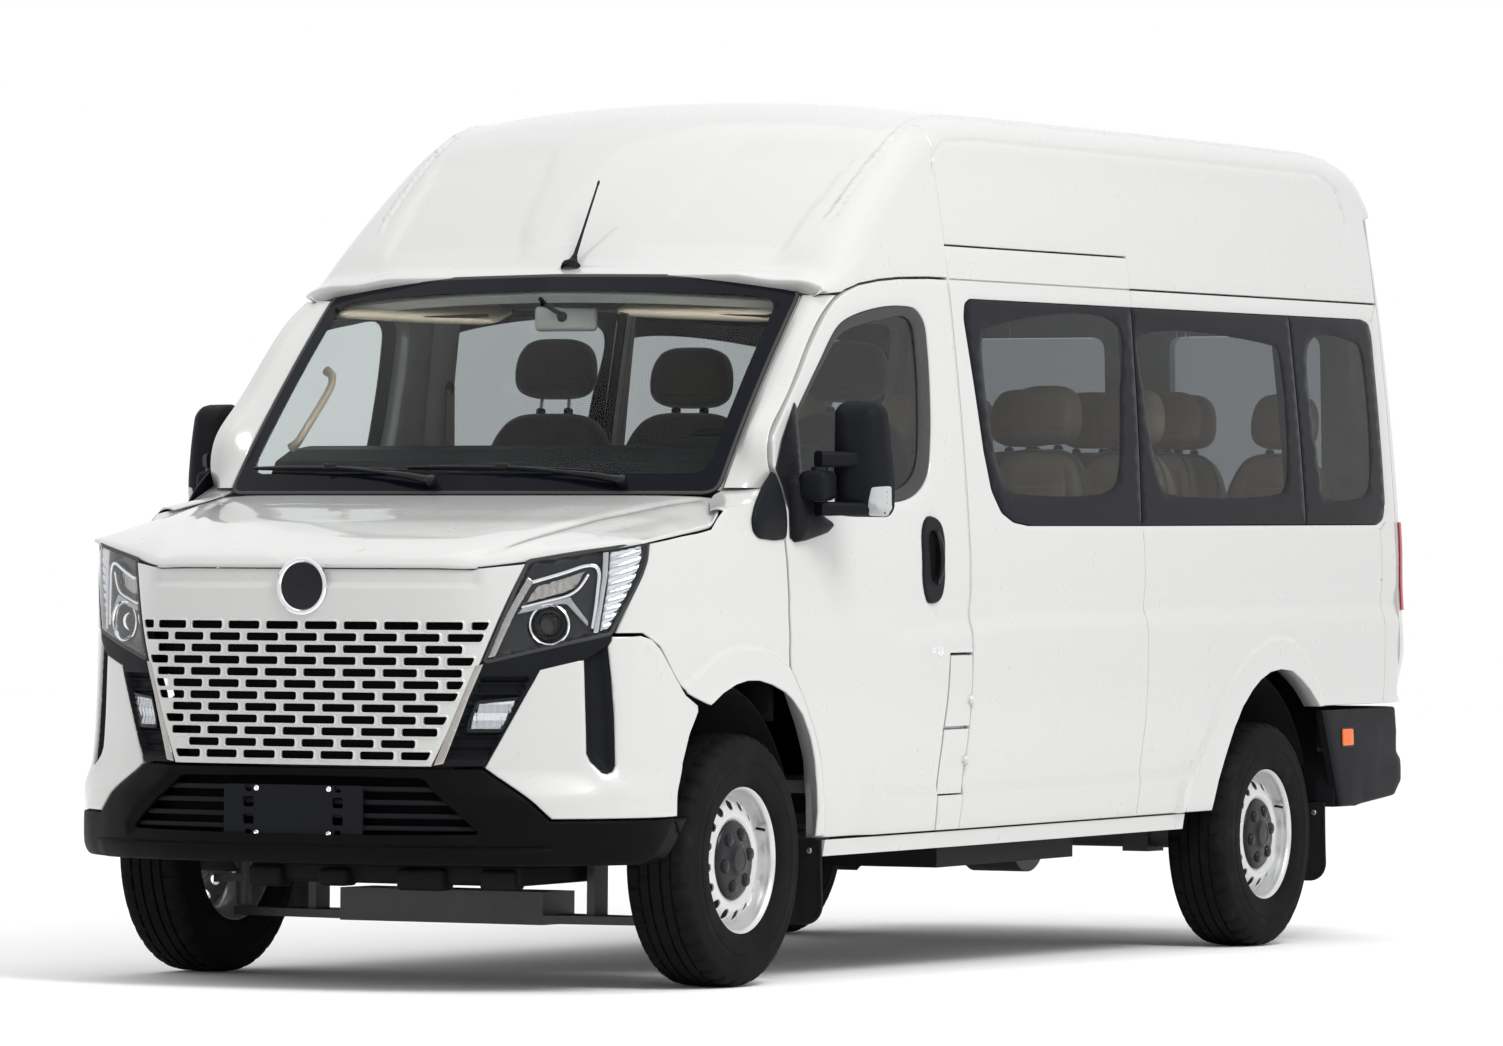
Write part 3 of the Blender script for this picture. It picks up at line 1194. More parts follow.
GROOVES = [[(seam_y(z), z) for z in (424, 560, 1320)], [(seam_y(1996), 1996), (2643, 2050)], [(1368, 2050), (2643, 2050)],
           [(4507, 1327), (4458, 1304), (4465, 1067), (4480, 745)], [(4536, 1990), (4590, 2046)]]
GEX = []
for ln in GROOVES:
    for o in (-4, -2.2, -1.0, 0, 1.0, 2.2, 4):
        q = np.array(ln, float)
        for a, b in zip(q[:-1], q[1:]):
            L = np.linalg.norm(b - a)
            nrm = np.array([-(b - a)[1], (b - a)[0]]) / L
            for t in np.arange(0, L, 12.0):
                GEX.append(tuple(a + (b - a) * t / L + nrm * o))
BAND_EX = [p for g in (7, 13, 20) for p in grow_line(dense(BAND_HOLE, 14), g)]
hole_left = [BAND_HOLE, FILL_HOLE_UP, FILL_HOLE_LOW]
out_l = side_outline(False)
# the flaps' corner: the panel's front edge runs round them up to the door
o = shell("side_skin_left", out_l, [BAND_HOLE], side_map, T_WALL, "body", ["paint", "trim_grey"], step=30, edge=4.0,
          extra=SIDE_EX + GEX + BAND_EX, disp=side_panel_disp, slot="white_paint")
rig.replaces(o, "side_panel_left")

# the right side: a fixed rear part and the sliding door ahead of it
right_out = [(2618, 421.5)] + arch + [(4600, 735), (4600, 2048), (2646, 2048), (2646, 2148.5), (1366.5, 2148.5), (1366.5, 2045.5), (2623, 2045.5), (2623, 2000),
                                      (2588, 1320), (2614, 560)]
band_rear = [(2652, 1321), (4443, 1323), (4500, 1340), (4527, 1387), (4536, 1948), (4520, 1985), (4459, 1996), (2652, 1996)]
band_front = [(1502, 1993), (1464, 1978), (1448, 1936), (1502, 1544), (1537, 1425), (1596, 1359), (1675, 1330), (1777, 1320), (2560, 1320), (2590, 1993)]
BREAR, BFRONT = grow_line(soften(band_rear, 14, 3), 1.5), grow_line(soften(band_front, 14, 3), 1.5)
right_out = [(2620, 421.5)] + arch + [(4600, 735), (4600, 2048), (2646, 2048), (2646, 2148.5), (1366.5, 2148.5), (1366.5, 2045.5), (2644, 2045.5), (2640, 1996), (2592, 1320), (2616, 560)]
slide_out = [(1369, 421.5), (2613, 421.5), (2610, 560), (2586, 1320), (2634, 2000), (2634, 2040), (1369, 2040)]
BFRONT = grow_line(soften([(1502, 1993), (1464, 1978), (1448, 1936), (1502, 1544), (1537, 1425), (1596, 1359), (1675, 1330), (1777, 1320), (2572, 1320), (2618, 1993)], 14, 3), 1.0)
shell("side_skin_right", right_out, [BREAR], side_map, T_WALL, "body", ["paint", "trim_grey"], step=30, edge=4.0,
      extra=SIDE_EX, disp=side_disp, sx=-1, slot="white_paint")
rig.replaces(bpy.data.objects["side_skin_right"], "side_panel_right")
shell("sliding_door_skin", slide_out, [BFRONT], side_map, T_WALL, "body", ["paint", "trim_grey"], step=30, edge=5.0,
      extra=SIDE_EX + HANDLE_EX, disp=side_disp, sx=-1, slot="white_paint")
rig.replaces(bpy.data.objects["sliding_door_skin"], "sliding_door")

# --- front wings ------------------------------------------------------------------------
WING = [(-508, 1247), (-502, 1269), (-427, 1278), (-352, 1288), (-277, 1296), (-202, 1308), (-165, 1339), (-115, 1368), (55, 1386), (190, 1436), (208, 1428), (221, 1391), (221, 1335), (208, 1275),
        (218, 1190), (227, 1110), (222, 1040), (216, 960), (222, 903), (276, 847), (361, 745), (434, 645), (484, 529), (514, 430), (462, 430), (455, 500), (432, 570),
        (396, 649), (352, 715), (293, 782), (228, 826), (180, 848), (107, 869), (31, 882), (-38, 883), (-105, 873), (-177, 850), (-240, 818), (-257, 822), (-345, 852),
        (-400, 905), (-465, 985), (-530, 1022), (-600, 1022), (-566, 1108), (-521, 1204)]
NOSE_SIDE_Y = np.linspace(-640, -140, 26)
NOSE_SIDE_Z = np.linspace(900, 1300, 17)
NOSE_SIDE = np.array([[float(nose_xy(np.array([float(k_from_y(a, b))]), np.array([float(b)]))[0][0]) for b in NOSE_SIDE_Z] for a in NOSE_SIDE_Y])


def wing_map(y, z):
    """The wing: the body's side, turned in towards the nose ahead of the wheel."""
    i = np.clip((y + 640) / 20.0, 0, 24.999)
    j = np.clip((z - 900) / 25.0, 0, 15.999)
    a, b = i.astype(int), j.astype(int)
    fa, fb = i - a, j - b
    xn = (NOSE_SIDE[a, b] * (1 - fa) * (1 - fb) + NOSE_SIDE[a + 1, b] * fa * (1 - fb) + NOSE_SIDE[a, b + 1] * (1 - fa) * fb + NOSE_SIDE[a + 1, b + 1] * fa * fb)
    xs = side_x(y, z)
    xn = xn + 60.0 * smooth(y, -330, -150)
    m = -14.0 * np.log(np.exp(-(xs - 900) / 14.0) + np.exp(-(xn - 900) / 14.0)) + 900
    return np.stack([np.where(y > -150, xs, np.minimum(m + 1.5, xs)), y, z], 1)


SAIL = soften([(152, 1472), (88, 1428), (39, 1377), (15, 1335), (21, 1301), (52, 1282), (144, 1276), (207, 1280), (218, 1320), (218, 1363), (198, 1420), (168, 1468)], 14, 3)
for sgn, tag in ((1, "left"), (-1, "right")):
    o = shell("wing_skin_" + tag, WING, [], wing_map, np.array([-6.0, 0, 0]), "body", ["paint", "plastic"], step=20, edge=3.5, extra=SIDE_EX, disp=side_disp, sx=sgn, slot="white_paint")
    if sgn > 0:
        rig.replaces(o, "front_wings")
    shell("wing_sail_" + tag, SAIL, [], side_map, np.array([-2.0, 0, 0]), "body", ["plastic"], step=11, edge=0, sx=sgn, slot="dark_plastic",
          extra=[q_ for g_ in (-1.5, -4, -8, -13, -19, -26, -34, -44) for q_ in dense(grow_line(dense(SAIL, 12), g_), 11)],
          disp=lambda y, z: 2.4 + 20.0 * np.sqrt(np.clip(1 - (1 - np.clip(seg_dist(SAIL, np.stack([y, z], 1)) / 75.0, 0, 1))**2, 0, 1)), bstep=9)

# --- bonnet -------------------------------------------------------------------------------
def bonnet_map(u, v):
    return bonnet_xyz(u / 120.0, np.clip(v / 780.0, 0, 1))


def bonnet_disp(u, v):
    k, t = np.abs(u) / 120.0, v / 780.0
    # two shoulders that run from the lamps' inner corners back to the screen's corners
    kc = np.interp(t, [0, 0.12, 0.35, 0.7, 1.0], [2.9, 3.05, 3.55, 4.35, 5.0])
    w = (k - kc) * 120.0
    d = -4.0 * np.exp(-(w / 40.0)**2) * smooth(t, 0.0, 0.08) * (1 - smooth(t, 0.86, 1.0))
    d = d + 5.0 * smooth(w, 10, 60) * (1 - smooth(w, 60, 240)) * smooth(t, 0.02, 0.2) * (1 - smooth(t, 0.8, 1.0))
    # round recess for a badge at the nose
    r = np.hypot(u, v - 86.0)
    d = d - 3.0 * (1 - smooth(r, 76, 94))
    return d


bex = []
for off in (-45, -28, -14, 0, 14, 28, 45, 75):
    for t in np.linspace(0.03, 0.97, 46):
        kc = float(np.interp(t, [0, 0.12, 0.35, 0.7, 1.0], [2.9, 3.05, 3.55, 4.35, 5.0]))
        bex += [(kc * 120 + off, t * 780), (-kc * 120 - off, t * 780)]
bex += [(r * math.cos(a), 86 + r * math.sin(a)) for r in (40, 58, 64, 70, 76, 84) for a in np.linspace(0, 2 * math.pi, 48, endpoint=False)]
o = shell("bonnet_skin", [(-838, 2), (838, 2), (838, 778), (-838, 778)], [], bonnet_map, np.array([0, 0, -8.0]), "bonnet", ["paint", "plastic"], step=17, edge=5.0, extra=bex, disp=bonnet_disp, slot="white_paint")
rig.replaces(o, "bonnet")

# --- nose -----------------------------------------------------------------------------------
def nose_map(grow=0.0):
    def f(s, z):
        x, y = nose_xy(k_of_s(s), z, grow)
        return np.stack([x, y, z + 0 * x], 1)
    return f


def both_sides(pts):
    return pts + [(-a, b) for a, b in reversed(pts)]


PANEL = [SX(505, 1197), SX(626, 1212), SX(532, 938), SX(411, 655)]
panel_out = both_sides([SX(395, 1199)] + PANEL)
panel_out = [SX(395, 1199)] + PANEL + [(-a, b) for a, b in reversed([SX(395, 1199)] + PANEL)]


def panel_side(z):
    return float(np.interp(z, [655, 938, 1212], [411, 532, 626]))


slots = []
for i, c in enumerate([10, 9, 8, 9, 8, 9, 8, 7, 8, 7, 6, 7]):
    zc = 1041.0 - 32.6 * i
    for j in range(c):
        xc = (j - (c - 1) / 2.0) * 124.6
        x0, x1 = xc - 52, xc + 52
        sgn = 1 if xc >= 0 else -1
        if sgn < 0:
            x0, x1 = -x1, -x0
        if x0 < 0 or abs(xc) < 1:
            q = [(x0, zc - 11), (x1, zc - 11), (x1, zc + 11), (x0, zc + 11)]
        else:
            ends = [min(x1, panel_side(zc + h) - 17) for h in (-11, 11)]
            if min(ends) < x0 + 16:
                continue
            q = [(x0, zc - 11), (ends[0], zc - 11), (ends[1], zc + 11), (x0, zc + 11)]
        q = [SX(sgn * a, b) for a, b in q]
        slots.append(soften(q, 7.0, 3))


def panel_disp(s, z):
    P = np.stack([s, z], 1)
    xp = nose_xy(k_of_s(s), z)[0]
    d = -13.0 * smooth(z, 1141, 1166) * (1 - smooth(np.abs(xp), 500 - 0, 540))
    m = (z < 1062) & (z > 660)
    if m.any():
        dd = np.full(m.sum(), 99.0)
        Pm = P[m]
        for q in slots:
            c = np.mean(q, axis=0)
            n = (np.abs(Pm[:, 0] - c[0]) < 80) & (np.abs(Pm[:, 1] - c[1]) < 32)
            if n.any():
                dd[n] = np.minimum(dd[n], seg_dist(q, Pm[n]))
        d[m] += 4.5 * (1 - smooth(dd, 1.5, 8.0))
    return d


pex = []
for q in slots:
    for g in (3.0, 5.5, 8.5):
        pex += dense(grow_line(q, g), 12)
for z in (1136, 1141, 1147, 1153, 1160, 1166, 1172):
    pex += [(s, z) for s in np.arange(-600, 600, 12.0)]
o = shell("front_panel_skin", panel_out, slots, nose_map(), np.array([0, 8.0, 0]), "body", ["paint", "plastic"], step=21, edge=2.0, extra=pex, disp=panel_disp, bstep=13, slot="white_paint")
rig.replaces(o, "front_panel")
shell("grille_backing", [SX(500, 1120), SX(560, 1120), SX(500, 940), SX(380, 665), SX(-380, 665), SX(-500, 940), SX(-560, 1120), SX(-500, 1120)], [], nose_map(-34.0), np.array([0, 4.0, 0]), "body", ["deep_black"], step=60, edge=0, slot="rubber_black")

NOTCH = [(826, 950), (836, 820), (847, 690), (860, 668), (897, 637), (912, 634), (929, 641), (936, 657), (922, 790), (906, 900), (890, 986)]
CORNER = [SX(552, 652), (692, 893), (707, 921)] + NOTCH + [(898, 1000), (899, 1012), SY(-560, 1012), SY(-537, 1014), SY(-500, 1004), SY(-470, 980), SY(-404, 900), SY(-350, 847), SY(-290, 818),
          SY(-288, 800), SY(-334, 738), SY(-372, 659), SY(-409, 512), SX(728, 512)]
AIRP = soften([(812, 960), (832, 690), (850, 660), (895, 630), (914, 626), (936, 634), (944, 657), (930, 790), (913, 905), (898, 1000), (884, 1012), (840, 995)], 6, 3)
NWALL = [p for g in (3, 7, 12) for p in dense(grow_line(NOTCH + [(860, 960)], g), 12)]


def corner_disp(s, z):
    P = np.stack([s, z], 1)
    # a soft fold from the slot's foot to the lower corner, and a rolled slot edge
    fold = seg_dist([(900, 640), (1010, 560), (1120, 520)], P, closed=False)
    d = 5.0 * np.exp(-(fold / 34.0)**2)
    return d - 2.5 * np.exp(-(seg_dist(NOTCH, P, closed=False) / 8.0)**2)


def air_disp(s, z):
    P = np.stack([s, z], 1)
    d = seg_dist(AIRP, P)
    return -20.0 * smooth(d, 6, 40)


for sgn, tag in ((1, "left"), (-1, "right")):
    o = shell("corner_skin_" + tag, CORNER, [], nose_map(), np.array([-22.0, 26.0, 0]), "body", ["paint", "plastic"], step=16, edge=4.0,
              extra=NWALL, disp=corner_disp, sx=sgn, slot="white_paint")
    if sgn > 0:
        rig.replaces(o, "bumper_corners")
    shell("air_slot_" + tag, AIRP, [], nose_map(-9.0), np.array([-4.0, 6.0, 0]), "body", ["plastic"], step=10, edge=0, sx=sgn, slot="dark_plastic", disp=air_disp)

# --- front bumper -------------------------------------------------------------------------------
INTAKE = [SX(392, 626), SX(560, 470), (0, 462)]
INT_HOLE = soften([(0, 628), SX(392, 626), SX(560, 470), (0, 462), (-SX(560, 470)[0], 470), (-SX(392, 626)[0], 626)], 16, 3)
BUMP = [(0, 648), SX(546, 648), SX(722, 506), SY(-418, 506), SY(-470, 450), SY(-514, 402), SY(-560, 380), (0, 378)]
bump_out = [BUMP[0]] + BUMP[1:7] + [BUMP[7]] + [(-a, b) for a, b in reversed(BUMP[1:7])]
bump_out = BUMP[1:7] + [(-a, b) for a, b in reversed(BUMP[1:7])]


def bump_disp(s, z):
    P = np.stack([s, z], 1)
    d = -26.0 * (1 - np.sqrt(np.clip(1 - (np.clip(424 - z, 0, 46) / 48.0)**2, 0, 1)))
    d = d - 10.0 * (1 - smooth(seg_dist(INT_HOLE, P), 4, 34)) * 0.9
    # a step above the lower lip
    lipw = 1 - smooth(np.abs(s), 700, 780)
    d = d + lipw * (5.0 * (1 - smooth(z, 424, 430)) - 5.0 * np.exp(-((z - 433) / 3.5)**2))
    return d


bx = [p for g in (5, 10, 16, 24, 34) for p in dense(grow_line(INT_HOLE, g), 14)]
for z in (384, 388, 393, 399, 406, 413, 419, 424, 427, 430, 433, 436, 440, 446):
    bx += [(s, z) for s in np.arange(-1150, 1150, 15.0)]
o = shell("bumper_skin", bump_out, [INT_HOLE], nose_map(2.4), np.array([0, 60.0, 0]), "body", ["plastic_front"], step=18, edge=5.0, extra=bx, disp=bump_disp, slot="dark_plastic")
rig.replaces(o, "front_bumper")
shell("intake_back", [SX(400, 640), SX(590, 455), SX(-590, 455), SX(-400, 640)], [], nose_map(-62.0), np.array([0, 4.0, 0]), "body", ["deep_black"], step=60, edge=0, slot="rubber_black")
for i, zb in enumerate((592, 555, 518, 484)):
    hw = float(np.interp(zb, [470, 626], [556, 392])) + 14
    b0 = SX(hw, zb)[0]
    shell("intake_bar_%d" % i, [(b0, zb + 7), (b0, zb - 7), (-b0, zb - 7), (-b0, zb + 7)], [], nose_map(-22.0), np.array([0, 30.0, -4.0]), "body", ["plastic"], step=20, edge=4.0, slot="dark_plastic")

# --- roof ---------------------------------------------------------------------------------------
rf = [(0, 596), (roof_a(596, x=660), 595)]
rf += [(roof_a(600, x=735), 596), (roof_a(600, z=2006), 600), (roof_a(625, z=1992), 625), (roof_a(690, z=1996), 690), (roof_a(713, z=2005), 713), (roof_a(790, z=2024), 790),
       (roof_a(918, z=2039), 918), (roof_a(1046, z=2048), 1046), (roof_a(1241, z=2054), 1241), (roof_a(1366, z=2054), 1365), (roof_a(1367, z=2153.5), 1367)]
rf += [(roof_a(y, z=2153.5), y) for y in np.arange(1500, 2640, 120)] + [(roof_a(2646, z=2153.5), 2646), (roof_a(2648, z=2053.5), 2648)]
rf += [(roof_a(y, z=2053.5), y) for y in np.arange(2760, 4590, 120)] + [(roof_a(4596, z=2053.5), 4596), (roof_a(4597, z=2335), 4598)]
rf += [(roof_a(4630, z=2335), 4630), (roof_a(4652, z=2338), 4654), (0, 4654)]
roof_out = rf[1:-1] + [(-a, b) for a, b in reversed(rf[1:-1])]
PAD = [(-440, 0)]


def roof_disp(a, y):
    P = roof_xyz(a, y)
    x, z = np.abs(P[:, 0]), P[:, 2]
    # soft hollows either side of the raised brow
    xi = np.interp(y, [750, 820, 990, 1130], [192, 232, 258, 302])
    xo = np.interp(y, [700, 850, 1060, 1260], [676, 690, 712, 742])
    f = smooth(x, xi - 16, xi + 26) * (1 - smooth(x, xo - 34, xo + 8)) * smooth(y, 690, 750) * (1 - smooth(y, 1080, 1230))
    d = -7.0 * f
    d = d - 20.0 * (1 - smooth(y, 592, 780)) * smooth(x, 560, 720)
    # drip rail along the roof's edge, and the groove below it
    rail = np.interp(y, [700, 870, 1170, 1510, 4400], [706, 751, 764, 761, 752])
    top = z > 2140
    w = (x - rail)
    on = smooth(y, 800, 880) * (1 - smooth(y, 4500, 4600))
    d = d + on * (5.0 * np.exp(-(w / 7.0)**2) - 3.0 * np.exp(-((w + 15) / 6.0)**2) - 3.0 * np.exp(-((w - 14) / 6.0)**2))
    # long swage on the side, turned down at both ends
    zc = np.interp(y, [1330, 1380, 1460, 1700, 4260, 4380, 4440], [2300, 2420, 2462, 2474, 2468, 2420, 2300])
    g = smooth(y, 1330, 1350) * (1 - smooth(y, 4420, 4450))
    side = (x > 790)
    d = d - 5.0 * g * np.exp(-((z - zc) / 9.0)**2) * side
    # thin joint over the side behind the doors
    q = (y - 1371.0)
    d = d - 4.5 * np.exp(-(q / 2.4)**2) * smooth(x, 770, 790) * (z < 2520)
    return d


rex = []
for y in np.arange(700, 4600, 26.0):
    for xr in (-22, -15, -8, 0, 8, 14, 22):
        rail = float(np.interp(y, [700, 870, 1170, 1510, 4400], [706, 751, 764, 761, 752]))
        a = roof_a(y, x=min(rail + xr, 800))
        rex += [(a, y), (-a, y)]
for y in np.arange(1330, 4450, 26.0):
    zc = float(np.interp(y, [1330, 1380, 1460, 1700, 4260, 4380, 4440], [2300, 2420, 2462, 2474, 2468, 2420, 2300]))
    for o_ in (-14, -7, 0, 7, 14):
        a = roof_a(y, z=zc + o_)
        rex += [(a, y), (-a, y)]
for z in np.arange(2170, 2530, 10.0):
    for yy in (1364, 1368, 1369.6, 1371, 1372.4, 1374, 1378):
        a = roof_a(yy, z=z)
        rex += [(a, yy), (-a, yy)]
o = shell("roof_skin", roof_out, [], roof_xyz, 40.0, "body", ["paint", "headliner"], step=32, edge=4.0, extra=rex, disp=roof_disp, slot="white_paint")
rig.replaces(o, "roof")

# --- windscreen -----------------------------------------------------------------------------------
SCREEN = soften([(-800, 1412), (800, 1412), (776, 2008), (640, 2030), (380, 2043), (0, 2048), (-380, 2043), (-640, 2030), (-776, 2008)], 40.0)


def screen_map(x, z):
    return np.stack([x, screen_y(x, z), z], 1)


o = shell("windscreen_glass", grow_line(SCREEN, -1.0), [], screen_map, np.array([0, 4.2, -4.2]), "body", ["glass"], step=40, edge=0, slot="clear_glass")
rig.replaces(o, "windscreen")
FRIT_IN = soften([(-752, 1466), (752, 1466), (728, 1972), (600, 1988), (300, 2000), (0, 2004), (-300, 2000), (-600, 1988), (-728, 1972)], 46.0, 6)
shell("windscreen_border", grow_line(SCREEN, -1.5), [FRIT_IN], screen_map, np.array([0, 0.5, -0.5]), "body", ["gloss_black"], step=30, edge=0, disp=lambda x, z: 0.9 + 0 * x, slot="rubber_black")
shell("windscreen_seal", grow_line(SCREEN, 6.0), [grow_line(SCREEN, -4.0)], screen_map, np.array([0, 4, -4.0]), "body", ["seal"], step=30, edge=2.0, disp=lambda x, z: 2.5 + 0 * x, slot="rubber_black")

# --- side glass -------------------------------------------------------------------------------------
def pane_holes(polys):
    return [flow(p, 14) for p in polys]


def glass_set(tag, sgn, band, clears, body="body", first=None, off=-4.0):
    """A black glass band with see-through areas, in one surface."""
    hs = pane_holes(clears)
    m = lambda y, z: np.stack([side_x(y, z) + off, y, z], 1)
    o = shell("band_" + tag, band, hs, m, np.array([-4.0, 0, 0]), body, ["gloss_black"], step=34, edge=2.0, sx=sgn, slot="tinted_glass", bstep=28)
    for i, h in enumerate(hs):
        shell("pane_%s_%d" % (tag, i), grow_line(h, 1.0), [], m, np.array([-3.6, 0, 0]), body, ["glass_tint"], step=60, edge=0, sx=sgn, slot="tinted_glass", disp=lambda y, z: -0.2 + 0 * y)
    return o


BAND_L = grow_line(BAND_HOLE, -3.0)
SPLIT = [(2588, 1320), (2594, 1400), (2620, 1700), (2644, 1996)]
b1 = [p for p in BAND_L]


def half_band(band, x_of_z, keep_left, gap=2.2):
    pts = dense(band, 12)
    out = []
    n = len(pts)
    for i in range(n):
        a, b = pts[i], pts[(i + 1) % n]
        fa = (x_of_z(a[1]) - gap - a[0]) if keep_left else (a[0] - x_of_z(a[1]) - gap)
        fb = (x_of_z(b[1]) - gap - b[0]) if keep_left else (b[0] - x_of_z(b[1]) - gap)
        if fa >= 0:
            out.append(a)
        if (fa >= 0) != (fb >= 0):
            t = fa / (fa - fb)
            out.append((a[0] + (b[0] - a[0]) * t, a[1] + (b[1] - a[1]) * t))
    return out


mid_split = lambda z: 3855.0
front_glass = half_band(BAND_L, seam_y, True)
rest = half_band(BAND_L, seam_y, False)
mid_glass = half_band(rest, mid_split, True, 2.0)
back_glass = half_band(rest, mid_split, False, 2.0)
for sgn, tag in ((1, "left"), (-1, "right")):
    if sgn > 0:
        bands = [front_glass, mid_glass, back_glass]
    else:
        bands = [grow_line(BFRONT, -3.0), half_band(grow_line(BREAR, -3.0), mid_split, True, 2.0), half_band(grow_line(BREAR, -3.0), mid_split, False, 2.0)]
    for i, (b, c) in enumerate(zip(bands, CLEAR)):
        o = glass_set("%s_%d" % (tag, i), sgn, b, [c])
        if i == 0:
            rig.replaces(o, "side_glass_" + tag)
    m = lambda y, z: np.stack([side_x(y, z) - 12.0, y, z], 1)
    shell("band_rim_" + tag, grow_line(BAND_HOLE, 4.0), [grow_line(BAND_HOLE, -26.0)], m, np.array([-12.0, 0, 0]), "body", ["deep_black"], step=40, edge=0, sx=sgn, slot="rubber_black")
    shell("band_post_a_" + tag, [(2560, 1330), (2625, 1330), (2672, 1990), (2612, 1990)], [], m, np.array([-30.0, 0, 0]), "body", ["deep_black"], step=60, edge=0, sx=sgn, slot="rubber_black")
    shell("band_post_b_" + tag, [(3780, 1330), (3930, 1330), (3930, 1990), (3780, 1990)], [], m, np.array([-30.0, 0, 0]), "body", ["deep_black"], step=60, edge=0, sx=sgn, slot="rubber_black")

DCLEAR = flow([(909, 1422), (1009, 1452), (1060, 1496), (1106, 1687), (1117, 1834), (1110, 1906), (1071, 1930), (897, 1917), (704, 1887), (638, 1863), (530, 1783), (373, 1651),
               (290, 1575), (262, 1530), (300, 1497), (600, 1450)], 16)
for sgn, tag in ((1, "left"), (-1, "right")):
    m = lambda y, z: np.stack([side_x(y, z) - 9.0, y, z], 1)
    o = shell("door_seal_" + tag, grow_line(WIN_HOLE, -1.5), [DCLEAR], m, np.array([-10.0, 0, 0]), "front_door_" + tag, ["seal"], step=26, edge=5.0, sx=sgn, slot="rubber_black",
              disp=lambda y, z: 2.0 + 0 * y)
    g = shell("door_pane_" + tag, grow_line(DCLEAR, 2.0), [], m, np.array([-4.0, 0, 0]), "front_door_" + tag, ["glass_door"], step=60, edge=0, sx=sgn, slot="tinted_glass",
              disp=lambda y, z: -5.0 + 0 * y)
    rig.replaces(g, "door_glass_" + tag)

# ---------------------------------------------------------------------------
# lamps and dark surrounds of the nose, as (s, z) outlines on the left side
# ---------------------------------------------------------------------------
def off_map(grow, tilt=0.0):
    return nose_map(grow)


def ribbon(pts, w):
    """A closed outline round an open line, w wide."""
    P = np.asarray(pts, float)
    n = len(P)
    L, R = [], []
    for i in range(n):
        a, b = P[max(0, i - 1)], P[min(n - 1, i + 1)]
        d = (b - a) / np.linalg.norm(b - a)
        nn = np.array([-d[1], d[0]])
        ww = w if np.isscalar(w) else w[i]
        L.append(tuple(P[i] + nn * ww / 2))
        R.append(tuple(P[i] - nn * ww / 2))
    return L + R[::-1]


def curve_pts(pts, step=10.0):
    """Smooth open curve through points."""
    P = np.asarray(pts, float)
    n = len(P)
    out = []
    for i in range(n - 1):
        p0 = P[i - 1] if i else 2 * P[0] - P[1]
        p1, p2 = P[i], P[i + 1]
        p3 = P[i + 2] if i + 2 < n else 2 * P[-1] - P[-2]
        m = max(2, int(np.linalg.norm(p2 - p1) / step))
        for t in np.linspace(0, 1, m, endpoint=False):
            out.append(tuple(0.5 * (2 * p1 + (p2 - p0) * t + (2 * p0 - 5 * p1 + 4 * p2 - p3) * t * t + (3 * p1 - p0 - 3 * p2 + p3) * t**3)))
    out.append(tuple(P[-1]))
    return out


LENS = soften([(657, 1222), (740, 1236), (825, 1250), (915, 1264), (999, 1276), (1003, 1250), (1001, 1225), (983, 1182), (955, 1133), (930, 1089), (895, 1019), (776, 992), (563, 942), (554, 946), (606, 1078)], 8, 3)
NIN = np.array([-4.0, 6.0, 0.0])


def nose_point(s, z, depth=0.0):
    x, y = nose_xy(k_of_s(np.array([float(s)])), np.array([float(z)]), -depth)
    return np.array([x[0], y[0], z])


def nose_dir(s, z):
    p, q = nose_point(s, z, 0.0), nose_point(s, z, 10.0)
    d = p - q
    return d / np.linalg.norm(d)


def lamp_floor(s, z):
    P = np.stack([s, z], 1)
    d = seg_dist(LENS, P)
    dep = -26.0 * smooth(d, 1.0, 16.0)
    r = np.hypot(s - 731, (z - 1045))
    dep = dep - 16.0 * (1 - smooth(r, 50, 62))
    # upper reflector chamber
    u = inside(CHAMBER, P)
    dep = dep - 12.0 * np.where(u, smooth(seg_dist(CHAMBER, P), 0, 7), 0)
    return dep


